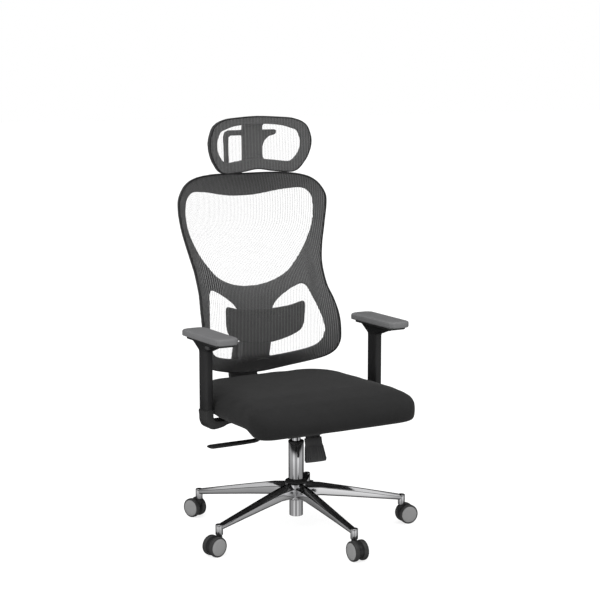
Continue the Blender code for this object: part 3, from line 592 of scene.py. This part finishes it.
def thread_weave():
    """Plain weave by place on the piece: how much a point is covered, and how high its thread stands."""
    group, given, result = effect_group("thread_weave", ("Across", "Up", "Across Width", "Up Width"),
                                        ("Cover", "Height"))
    where = wired(group, "TexCoord")
    parts = wired(group, "SeparateXYZ", {"Vector": where.outputs["Object"]})
    slope = reckoned(group, "ADD", parts.outputs["Y"], parts.outputs["Z"])
    covers, heights = [], []
    for place_on, count in ((parts.outputs["X"], "Across"), (slope, "Up")):
        run = reckoned(group, "MULTIPLY", place_on, given.outputs[count])
        wave = reckoned(group, "PINGPONG", run, .5)
        half = reckoned(group, "MULTIPLY", given.outputs[count + " Width"], .5)
        covers.append(reckoned(group, "LESS_THAN", wave, half))
        heights.append(wave)
    group.links.new(reckoned(group, "MAXIMUM", *covers), result.inputs["Cover"])
    group.links.new(reckoned(group, "MULTIPLY", *heights), result.inputs["Height"])
    return group


THREAD_WEAVE = thread_weave()


def cloth_effects(tree, across, up, widths, grains, marks):
    """The weave and the marks of a cloth."""
    weave = wired(tree, "Group", {"Across": across, "Up": up, "Across Width": widths[0], "Up Width": widths[1]},
                  node_tree=THREAD_WEAVE)
    return weave, wired(tree, "Group", {"Grains Per Metre": grains, "Marks Per Metre": marks},
                        node_tree=SURFACE_MARKS)


def woven_cloth():
    """Dense black upholstery cloth. Its colour carries painted shade, paler on the threads' tops and darker in
    the hollows between them, plus random marks.
    """
    material, tree, shader = blank_finish("seat_cloth", {
        "Roughness": .92, "Specular IOR Level": .25, "Sheen Weight": .10, "Sheen Roughness": .45,
        "Sheen Tint": (.5, .5, .5, 1),
    })
    weave, marks = cloth_effects(tree, SEAT_THREADS, SEAT_THREADS, (.5, .5), 500, 9)
    # Painted shade from the weave's height, darker in the hollows between threads, plus random marks.
    weave_shade_and_marks = wired(tree, "Math", {0: weave.outputs["Height"], 1: 1.6, 2: marks.outputs["Marks"]},
                 operation="MULTIPLY_ADD")
    blend_of(tree, weave_shade_and_marks.outputs[0], (.006, .006, .006), (.012, .012, .0122), shader.inputs["Base Color"])
    raised(tree, shader, weave.outputs["Height"], .0004)
    return material


SEAT_CLOTH = woven_cloth()


def mirrored(points):
    """A half outline closed by its mirror image over the middle."""
    points = list(points)
    return points + [(-x, z) for x, z in reversed(points) if x > 0]


def as_object(bm, name="shape"):
    """The shape as an object, for modifiers to work on."""
    mesh = bpy.data.meshes.new(name)
    bm.to_mesh(mesh)
    bm.free()
    obj = bpy.data.objects.new(name, mesh)
    bpy.context.collection.objects.link(obj)
    return obj


def after_modifiers(obj):
    """The object's mesh with its modifiers applied, as a shape. The object is used up."""
    bpy.context.view_layer.update()
    bm = bmesh.new()
    bm.from_object(obj, bpy.context.evaluated_depsgraph_get())
    bpy.data.objects.remove(obj, do_unlink=True)
    return bm


def smoothed(bm, passes):
    for _ in range(passes):
        bmesh.ops.smooth_vert(bm, verts=bm.verts, factor=.5, use_axis_x=True, use_axis_y=True, use_axis_z=True)
    return bm


def reskinned(bm, voxel, passes):
    """The shape in one even skin, with its edges rounded off by smoothing."""
    obj = as_object(bm)
    remesh = obj.modifiers.new("skin", "REMESH")
    remesh.mode = "VOXEL"
    remesh.voxel_size = voxel
    return smoothed(after_modifiers(obj), passes)


def cushion_block():
    """The foam's shape a little under size, drawn from its plain solid."""
    bm = bmesh.new()
    bm.from_mesh(nodes["seat_cushion"].data)
    bmesh.ops.translate(bm, vec=-COLUMN_FOOT, verts=bm.verts)
    bmesh.ops.remove_doubles(bm, verts=bm.verts, dist=1e-5)
    return reskinned(bm, .0070, CUSHION_SMOOTHING)


def blown_up(bm):
    """The cover pulled tight over swelling foam. No point moves further than the most allowed."""
    obj = as_object(bm, "foam")
    before = [vert.co.copy() for vert in obj.data.vertices]
    cloth = obj.modifiers.new("cloth", "CLOTH")
    cloth.settings.use_pressure = True
    cloth.settings.uniform_pressure_force = AIR_PRESSURE
    cloth.settings.effector_weights.gravity = 0
    cloth.settings.quality = 5
    cloth.collision_settings.use_collision = False
    scene = bpy.context.scene
    for step in range(1, SETTLING_FRAMES + 1):
        scene.frame_set(step)
    swollen = after_modifiers(obj)
    scene.frame_set(1)
    for vert, start in zip(swollen.verts, before):
        move = vert.co - start
        if move.length > MOST_SWELLING:
            vert.co = start + move * (MOST_SWELLING / move.length)
    return swollen


def fit_to(bm, solid):
    """Stretches the shape until its box is the plain solid's box."""
    corners = [vert.co - COLUMN_FOOT for vert in solid.data.vertices]
    for axis in range(3):
        low, high = min(corner[axis] for corner in corners), max(corner[axis] for corner in corners)
        first, last = min(vert.co[axis] for vert in bm.verts), max(vert.co[axis] for vert in bm.verts)
        for vert in bm.verts:
            vert.co[axis] = low + (vert.co[axis] - first) * (high - low) / (last - first)


def cushion():
    bm = cushion_block()
    bm = blown_up(bm)
    fit_to(smoothed(bm, CUSHION_SMOOTHING), nodes["seat_cushion"])
    for vert in bm.verts:
        if vert.co.y > CUSHION_ROLL:
            vert.co.z = max(vert.co.z, CUSHION_FOOT)
    return bm


pan_outline = rounded(mirrored([(0, -.178), (.160, -.176), (.212, -.150), (.235, -.050), (.230, .060),
                                (.192, .165), (.130, .212), (0, .220)]), 5)
pan = eased(pushed(pan_outline, "Z", PAN_BOTTOM, PAN_TOP), .0022, 3, 50)
place("pan_shell", pan, NYLON, "seat", "black_plastic", "seat_pan")
seat = place("cushion_cover", cushion(), SEAT_CLOTH, "seat", "seat_fabric", "seat_cushion", sharp=80)
smoothing = seat.modifiers.new("smooth_cover", "SUBSURF")
smoothing.levels = 1
smoothing.render_levels = 1


# --- Arms -------------------------------------------------------------------
# A bent steel arm is bolted under the pan on each side. A moulded nylon sleeve slides on its upright, locked by
# a push button on the outer face, and flares out to the plate that the soft pad slides on.

ARM_X = .300
ARM_Y = .020
SLEEVE_BOTTOM = .4135
PAD_BOTTOM = .6295

PAD_SKIN = grained_finish("pad_skin", ((.095, .095, .097), (.125, .125, .128)), (.46, .60), 1100, .00012,
                          marks=18)


def arm_ring(half_x, low_y, high_y, radius, z, shift=0.0):
    """A rounded rectangle round an arm, at a height."""
    middle = (low_y + high_y) / 2
    return [
        (ARM_X + shift + x, middle + y, z) for x, y in soft_corners(half_x, (high_y - low_y) / 2, radius)
    ]


def arm_bend():
    inner, outer = ARM_X - .0125, ARM_X + .0125
    bend = pushed(rounded([(.105, .3665), (.170, .3665), (.232, .3665), (.255, .3590), (.285, .3545),
                           (.303, .3612), (outer - .001, .378), (outer, .395), (outer, .4131), (inner, .4131),
                           (inner, .4010), (inner - .001, .3900), (.278, .3790), (.250, .3782), (.170, .3782),
                           (.105, .3782)], 3), "Y", ARM_Y - .025, ARM_Y + .025)
    upright = bridged([arm_ring(.0078, ARM_Y - .018, ARM_Y + .018, .003, z) for z in (.400, .575)])
    heads = bolts_at([(x, ARM_Y, .3668) for x in (.125, .175)])
    return gathered(eased(bend, .0028, 3, 50), upright, *heads)


def arm_sleeve():
    """The tube, the flare that carries the pad, and the raised frame round the button."""
    low, high = ARM_Y - .025, ARM_Y + .025
    rings = [arm_ring(.0115, low + .001, high - .001, .0060, SLEEVE_BOTTOM),
             arm_ring(.0125, low, high, .0070, SLEEVE_BOTTOM + .0012),
             arm_ring(.0125, low, high, .0070, .500),
             arm_ring(.0125, low, high, .0070, .588),
             arm_ring(.0130, low - .002, high + .001, .0070, .5935),
             arm_ring(.0146, -.020, .050, .0075, .5985),
             arm_ring(.0170, -.038, .057, .0080, .6055),
             arm_ring(.0200, -.053, .065, .0085, .6145),
             arm_ring(.0216, -.060, .070, .0085, .6190),
             arm_ring(.0216, -.060, .070, .0085, .6208),
             arm_ring(.0206, -.059, .069, .0080, .6214)]
    return bridged(rings)


def arm_button():
    button = pushed([(-.0402, .6058), (-.0178, .6058), (-.0178, .6172), (-.0402, .6172)], "X", ARM_X + .0130,
                    ARM_X + .0232)
    return eased(button, .0018, 3, 50)


def pad_plate():
    return bridged([arm_ring(.0300, -.113, .093, .0120, .6222), arm_ring(.0308, -.114, .094, .0125, .6230),
                    arm_ring(.0308, -.114, .094, .0125, .6282), arm_ring(.0300, -.113, .093, .0120, .6290)])


def arm_pad():
    """A long pad, narrower at its front, with a rolled edge and a slightly crowned top."""
    plan = rounded([(-.0370, -.104), (-.0335, -.119), (-.0230, -.1285), (0, -.1305), (.0230, -.1285),
                    (.0335, -.119), (.0370, -.104), (.0388, .010), (.0398, .088), (.0360, .1015),
                    (.0240, .1095), (0, .1115), (-.0240, .1095), (-.0360, .1015), (-.0398, .088),
                    (-.0388, .010)], 5)
    rings = []
    for z, inset in ((PAD_BOTTOM, .0040), (.6298, .0024), (.6310, .0006), (.6330, 0), (.6430, 0), (.6462, .0006),
                     (.6482, .0022), (.6492, .0046), (.6497, .0095), (.6500, .0180)):
        rings.append([(ARM_X + x * (1 - inset / .040), -.010 + (y + .010) * (1 - inset / .120), z)
                      for x, y in plan])
    return bridged(rings)


for hand, way in (("left", 1), ("right", -1)):
    over = Matrix.Diagonal((way, 1, 1, 1))
    place(f"arm_bend_{hand}", moved(arm_bend(), over), POWDER_COAT, "seat", "black_steel", f"arm_bracket_{hand}")
    place(f"arm_tube_{hand}", moved(arm_sleeve(), over), NYLON, f"arm_{hand}", "black_plastic",
          f"arm_sleeve_{hand}")
    place(f"arm_lock_{hand}", moved(arm_button(), over), KNOB_NYLON, f"arm_button_{hand}", "black_plastic",
          f"arm_button_{hand}")
    place(f"pad_base_{hand}", moved(pad_plate(), over), NYLON, f"arm_pad_{hand}", "black_plastic",
          f"arm_pad_plate_{hand}")
    place(f"pad_cover_{hand}", moved(arm_pad(), over), PAD_SKIN, f"arm_pad_{hand}", "arm_pad",
          f"arm_pad_{hand}", sharp=50)


# --- Back -------------------------------------------------------------------
# One black nylon moulding, open in its upper bowl and in two lower windows. It curves across like a shallow
# trough and along like a spine, and a bent steel bar bolts its column under the seat.

BACK_DATUM = .842
MESH_THICK = .0015
BACK_THICK = .014
MESH_FRONT = .194                 # y of the stretched mesh at the middle of the lumbar pad
LUMBAR_FRONT = .1975              # y of the lumbar pad's face, close behind it
STRETCH = .62                     # how fast both bend forward towards their sides
BEAD_SIDES = 8

# Half outlines as (x, height above the datum), from the middle of the top round to the middle of the bottom.
BACK_OUTLINE = (
    (0, .250), (.111, .251), (.189, .243), (.234, .223), (.262, .185), (.266, .145), (.256, .080),
    (.241, .015), (.230, -.045), (.230, -.108), (.239, -.153), (.245, -.203), (.245, -.254),
    (.242, -.289), (.229, -.321), (.199, -.345), (.132, -.369), (.056, -.388), (0, -.392),
)
UPPER_OPENING = (
    (0, .176), (.040, .177), (.084, .183), (.126, .191), (.167, .196), (.192, .197), (.212, .190),
    (.228, .167), (.231, .123), (.224, .080), (.207, .038), (.186, 0), (.161, -.034), (.126, -.071),
    (.078, -.096), (.031, -.107), (0, -.108),
)
LOWER_WINDOW = (
    (.062, -.183), (.081, -.157), (.119, -.129), (.153, -.111), (.167, -.109), (.177, -.118),
    (.187, -.150), (.199, -.192), (.207, -.234), (.206, -.264), (.191, -.295), (.160, -.314),
    (.105, -.330), (.060, -.3375), (.054, -.3385), (.053, -.3365), (.053, -.330), (.053, -.290), (.053, -.215),
)
# The back's middle line, seen from the side: (height above the datum, y).
BACK_SPINE = (
    (-.400, .285), (-.350, .266), (-.300, .252), (-.250, .249), (-.200, .255), (-.150, .269), (-.100, .287),
    (-.050, .306), (0, .325), (.050, .339), (.100, .347), (.150, .347), (.200, .341), (.260, .328),
)


def spine_y(height):
    for i in range(len(BACK_SPINE) - 1):
        (z1, y1), (z2, y2) = BACK_SPINE[i:i + 2]
        if height <= z2 or i == len(BACK_SPINE) - 2:
            break
    y0 = BACK_SPINE[max(i - 1, 0)][1]
    y3 = BACK_SPINE[min(i + 2, len(BACK_SPINE) - 1)][1]
    return between(y0, y1, y2, y3, (height - z1) / (z2 - z1))


def back_y(x, height):
    """The front of the back's mesh: a shallow trough, deeper towards the seat."""
    return spine_y(height) - x * x * (1.51 - 1.8 * height)


def smooth(t):
    t = min(max(t, 0), 1)
    return t * t * (3 - 2 * t)


def skin_y(x, height):
    """The back's mesh. Low down the lumbar pad pushes it off the moulding's trough, between the side rims."""
    stretched = MESH_FRONT - STRETCH * x * x
    upward = smooth((.100 - height) / .230) * smooth((height + .392) / .082)
    across = 1 - smooth((abs(x) - .150) / .070)
    return back_y(x, height) - upward * across * max(0, back_y(x, height) - stretched)


def column_share(x, height):
    """1 on the column between the lower windows, where the moulding is deeper, and 0 elsewhere."""
    across = 1 - smooth((abs(x) - .040) / .013)
    return across * smooth((-.150 - height) / .030) * smooth((height + .353) / .014)


def slab(surface, front, rear, half_wide, low, high, datum, step=.010):
    """A closed slab that follows a surface, between two depths behind it."""
    bm = bmesh.new()
    across = round(2 * half_wide / step)
    upward = round((high - low) / step)
    bmesh.ops.create_grid(bm, x_segments=across, y_segments=upward, size=.5)
    bmesh.ops.rotate(bm, cent=(0, 0, 0), matrix=Matrix.Rotation(pi / 2, 3, "X"), verts=bm.verts)
    bmesh.ops.scale(bm, vec=(2 * half_wide, 1, high - low), verts=bm.verts)
    bmesh.ops.translate(bm, vec=(0, 0, (low + high) / 2), verts=bm.verts)
    face_set = bmesh.ops.extrude_face_region(bm, geom=bm.faces[:])
    behind = {item for item in face_set["geom"] if isinstance(item, bmesh.types.BMVert)}
    for vert in bm.verts:
        x, height = vert.co.x, vert.co.z
        depth = rear if vert in behind else front
        vert.co.y = surface(x, height) + depth(x, height)
        vert.co.z = height + datum
    bmesh.ops.recalc_face_normals(bm, faces=bm.faces)
    return bm


def carved(body, operation, *tools):
    """The shape after a Boolean with each tool."""
    blank = as_object(body)
    cutters = [as_object(tool) for tool in tools]
    for cutter in cutters:
        step = blank.modifiers.new("cut", "BOOLEAN")
        step.operation = operation
        step.object = cutter
    shape = after_modifiers(blank)
    for cutter in cutters:
        bpy.data.objects.remove(cutter, do_unlink=True)
    return shape


def through(outline, datum, steps=4):
    """A cutter with an outline's shape, right through from front to rear."""
    return pushed([(x, z + datum) for x, z in rounded(outline, steps)], "Y", -.2, .6)


def block(low, high):
    bm = bmesh.new()
    bmesh.ops.create_cube(bm, size=1)
    low, high = Vector(low), Vector(high)
    bmesh.ops.scale(bm, vec=high - low, verts=bm.verts)
    bmesh.ops.translate(bm, vec=(low + high) / 2, verts=bm.verts)
    return bm


FRAME_NYLON = grained_finish("frame_nylon", ((.026, .026, .0265), (.036, .036, .037)), (.42, .55), 1900, .00006,
                             marks=22)


def back_moulding():
    frame_slab = slab(back_y, lambda x, z: MESH_THICK + .0006,
                      lambda x, z: BACK_THICK + .036 * column_share(x, z), .270, -.396, .256, BACK_DATUM)
    moulding = carved(frame_slab, "INTERSECT", through(mirrored(BACK_OUTLINE), BACK_DATUM))
    moulding = carved(moulding, "DIFFERENCE", through(mirrored(UPPER_OPENING), BACK_DATUM),
                      through(LOWER_WINDOW, BACK_DATUM),
                      through([(-x, z) for x, z in reversed(LOWER_WINDOW)], BACK_DATUM))
    moulding = carved(moulding, "UNION", block((-.038, .344, 1.026), (.038, .4015, 1.078)))
    moulding = carved(moulding, "DIFFERENCE", block((-.0188, .3760, 1.0), (.0188, .3900, 1.1)))
    return reskinned(moulding, .0030, 5)


def edge_bead(outline, inset, surface, middle, datum, radius):
    """The thin lip that the mesh is pressed behind, as a tube along the outline."""
    points = []
    for x, height in rounded(outline, 5):
        inward = (Vector((x, height)) - Vector(middle)).normalized() * inset
        points.append(Vector((x - inward.x, surface(x, height) + .0016, height - inward.y + datum)))
    rings = []
    for i, point in enumerate(points):
        run = (points[(i + 1) % len(points)] - points[i - 1]).normalized()
        side = run.cross(Vector((0, 1, 0))).normalized()
        lift = side.cross(run)
        turns = [2 * pi * k / BEAD_SIDES for k in range(BEAD_SIDES)]
        rings.append([point + side * radius * cos(turn) + lift * radius * sin(turn) for turn in turns])
    return bridged(rings, endless=True)


def back_bar():
    bar = pushed(rounded([(.098, .3605), (.190, .3605), (.268, .3605), (.310, .3700), (.338, .396),
                          (.352, .430), (.352, .452), (.332, .500), (.3195, .545), (.3065, .542), (.3190, .498),
                          (.3380, .452), (.3380, .440), (.325, .410), (.302, .386), (.266, .3720),
                          (.190, .3720), (.098, .3720)], 3), "X", -.050, .050)
    under = bolts_at([(x, y, .3608) for x in (-.030, .030) for y in (.115, .150)])
    behind = bolts_at([(x, .3300, .508) for x in (-.030, .030)], radians(-74))
    return gathered(eased(bar, .0022, 2, 50), *under, *behind)


BACK_MIDDLE = (0, -.06)
place("back_moulding", back_moulding(), FRAME_NYLON, "seat", "black_plastic", "back_frame", sharp=70)
place("back_lip", edge_bead(mirrored(BACK_OUTLINE), .0026, back_y, BACK_MIDDLE, BACK_DATUM, .0026), NYLON,
      "seat", "black_plastic")
place("back_bar", back_bar(), POWDER_COAT, "seat", "black_steel", "back_bracket")


# --- Back mesh --------------------------------------------------------------
# Open woven polyester, stretched over the front of the moulding and pressed into a groove behind its lip. Pale
# upright threads with finer cross threads let most of what is behind show through.

def open_weave(name, across, up, widths):
    """Pale thread with open holes between, so Alpha follows the weave."""
    material, tree, shader = blank_finish(name, {"Roughness": .8, "Specular IOR Level": .3})
    weave, marks = cloth_effects(tree, across, up, widths, 900, 30)
    blend_of(tree, marks.outputs["Marks"], (.16, .16, .16), (.21, .21, .21), shader.inputs["Base Color"])
    tree.links.new(weave.outputs["Cover"], shader.inputs["Alpha"])
    raised(tree, shader, weave.outputs["Height"], .0003)
    return material


MESH_CLOTH = open_weave("mesh_cloth", 190, 320, (.17, .05))


def stretched_skin(outline, middle, surface, datum, shrink, rings):
    """One layer of cloth inside an outline, on a surface, from loops that close on the middle."""
    bm = bmesh.new()
    centre = Vector((middle[0], 0, middle[1]))
    edges = looped(bm, [(x * shrink, 0, centre.z + (z - centre.z) * shrink) for x, z in rounded(outline, 5)])
    for ring_number in range(rings, 0, -1):
        grown = bmesh.ops.extrude_edge_only(bm, edges=edges)["geom"]
        inner = [item for item in grown if isinstance(item, bmesh.types.BMVert)]
        edges = [item for item in grown if isinstance(item, bmesh.types.BMEdge)]
        share = (ring_number - 1) / ring_number
        bmesh.ops.scale(bm, vec=(share, share, share), space=Matrix.Translation(-centre), verts=inner)
    bmesh.ops.remove_doubles(bm, verts=bm.verts, dist=1e-5)
    for vert in bm.verts:
        vert.co.y = surface(vert.co.x, vert.co.z)
        vert.co.z += datum
    return bm


def faced_forward(piece):
    """Turns an open sheet's faces to the sitter."""
    total = sum((face.normal * face.area for face in piece.data.polygons), Vector((0, 0, 0)))
    if total.y > 0:
        piece.data.flip_normals()


back_skin = stretched_skin(mirrored(BACK_OUTLINE), BACK_MIDDLE, skin_y, BACK_DATUM, .988, 46)
back_skin = place("back_skin", back_skin, MESH_CLOTH, "seat", "mesh_fabric", "back_mesh", sharp=80)
faced_forward(back_skin)


# --- Lumbar pad -------------------------------------------------------------
# A soft black shell behind the mesh, on a clip that slides up and down the moulding's column.

LUMBAR_OUTLINE = (
    (0, -.173), (.085, -.167), (.124, -.157), (.137, -.155), (.1425, -.164), (.1425, -.185), (.139, -.225),
    (.127, -.248), (.092, -.266), (.042, -.279), (0, -.282),
)


def lumbar_y(x, height):
    return LUMBAR_FRONT - STRETCH * x * x


LUMBAR_SHELL = grained_finish("lumbar_shell", ((.009, .009, .009), (.014, .014, .014)), (.5, .62), 1300, .00010)

lumbar = slab(lumbar_y, lambda x, z: 0, lambda x, z: .0085, .148, -.288, -.150, BACK_DATUM, .006)
lumbar = carved(lumbar, "INTERSECT", through(mirrored(LUMBAR_OUTLINE), BACK_DATUM))
place("lumbar_shell", reskinned(lumbar, .0020, 4), LUMBAR_SHELL, "lumbar", "black_plastic", "lumbar_pad",
      sharp=70)
dress(NYLON, "lumbar_slider")


# --- Headrest ---------------------------------------------------------------
# A smaller moulding with its own mesh, on a post that slides in the back's guide and carries the tilt hinge. A
# broad spine crosses the opening from behind, with a coat bar hooked over it and down one side.

HEAD_DATUM = 1.182
HEAD_THICK = .018
HEAD_HINGE = Vector((0.0, 0.303, 1.122))
HEAD_OUTLINE = (
    (0, .094), (.090, .089), (.121, .085), (.148, .076), (.167, .061), (.177, .039), (.182, .017),
    (.180, -.008), (.170, -.037), (.155, -.060), (.144, -.073), (.133, -.080), (.113, -.084),
    (.054, -.080), (0, -.073),
)
HEAD_OPENING = (
    (0, .069), (.051, .067), (.091, .062), (.118, .054), (.136, .047), (.145, .032), (.150, .014),
    (.148, -.011), (.139, -.029), (.126, -.044), (.113, -.050), (.085, -.048), (.053, -.044), (0, -.040),
)
HEAD_MIDDLE = (0, .010)


def head_y(x, height):
    return .234 - .042 * height - .635 * x * x


def barrel(start, end, radius, segments=32):
    """A round bar between two points."""
    start, end = Vector(start), Vector(end)
    bm = bmesh.new()
    bmesh.ops.create_cone(bm, cap_ends=True, segments=segments, radius1=radius, radius2=radius,
                          depth=(end - start).length)
    turn = Vector((0, 0, 1)).rotation_difference(end - start).to_matrix().to_4x4()
    return moved(bm, Matrix.Translation((start + end) / 2) @ turn)


def hinge_line(half):
    return HEAD_HINGE - Vector((half, 0, 0)), HEAD_HINGE + Vector((half, 0, 0))


def headrest_moulding():
    rim = slab(head_y, lambda x, z: MESH_THICK + .0006, lambda x, z: HEAD_THICK, .186, -.088, .098, HEAD_DATUM,
               .006)
    rim = carved(rim, "INTERSECT", through(mirrored(HEAD_OUTLINE), HEAD_DATUM))
    rim = carved(rim, "DIFFERENCE", through(mirrored(HEAD_OPENING), HEAD_DATUM))
    spine = pushed([(.241, 1.264), (.241, 1.256), (.262, 1.244), (.262, 1.150), (.244, 1.132), (.244, 1.112),
                    (.258, 1.108), (.291, 1.110), (.291, 1.258), (.279, 1.266)], "X", -.031, .031)
    bar = pushed([(-.031, 1.214), (-.072, 1.214), (-.079, 1.208), (-.078, 1.150), (-.078, 1.108), (-.094, 1.108),
                  (-.0965, 1.212), (-.0925, 1.225), (-.080, 1.231), (.086, 1.231), (.0925, 1.228),
                  (.0935, 1.2205), (.089, 1.215), (.066, 1.209), (.050, 1.196), (.040, 1.170), (.030, 1.150)],
                 "Y", .283, .2908)
    foot = block((-.094, .240, 1.108), (-.078, .287, 1.124))
    ears = [
        pushed([(.285, 1.1095), (.306, 1.1095), (.314, 1.116), (.314, 1.128), (.306, 1.1345), (.285, 1.1345)],
               "X", low, low + .0105)
        for low in (-.0305, .0200)
    ]
    whole = carved(rim, "UNION", spine, bar)
    whole = carved(whole, "UNION", foot, *ears)
    whole = carved(whole, "DIFFERENCE", barrel(*hinge_line(.05), .0043))
    return reskinned(whole, .0020, 4)


def headrest_post():
    post = pushed([(.3770, 1.016), (.3890, 1.016), (.3890, 1.104), (.380, 1.118), (.360, 1.1275), (.330, 1.1290),
                   (.303, 1.1285), (.303, 1.1155), (.345, 1.1160), (.364, 1.110), (.3770, 1.098)], "X",
                  -.018, .018)
    post = carved(post, "UNION", barrel(*hinge_line(.018), .0095))
    return carved(eased(post, .0012, 2, 50), "DIFFERENCE", barrel(*hinge_line(.05), .0043))


place("headrest_moulding", headrest_moulding(), FRAME_NYLON, "headrest", "black_plastic", "headrest_frame",
      sharp=70)
place("headrest_lip", edge_bead(mirrored(HEAD_OUTLINE), .0022, head_y, HEAD_MIDDLE, HEAD_DATUM, .0022), NYLON,
      "headrest", "black_plastic")
head_skin = stretched_skin(mirrored(HEAD_OUTLINE), HEAD_MIDDLE, head_y, HEAD_DATUM, .986, 20)
head_skin = place("headrest_skin", head_skin, MESH_CLOTH, "headrest", "mesh_fabric", "headrest_mesh", sharp=80)
faced_forward(head_skin)
place("headrest_arm", headrest_post(), NYLON, "headrest_post", "black_plastic", "headrest_post")
dress(BARE_STEEL, "headrest_pin")
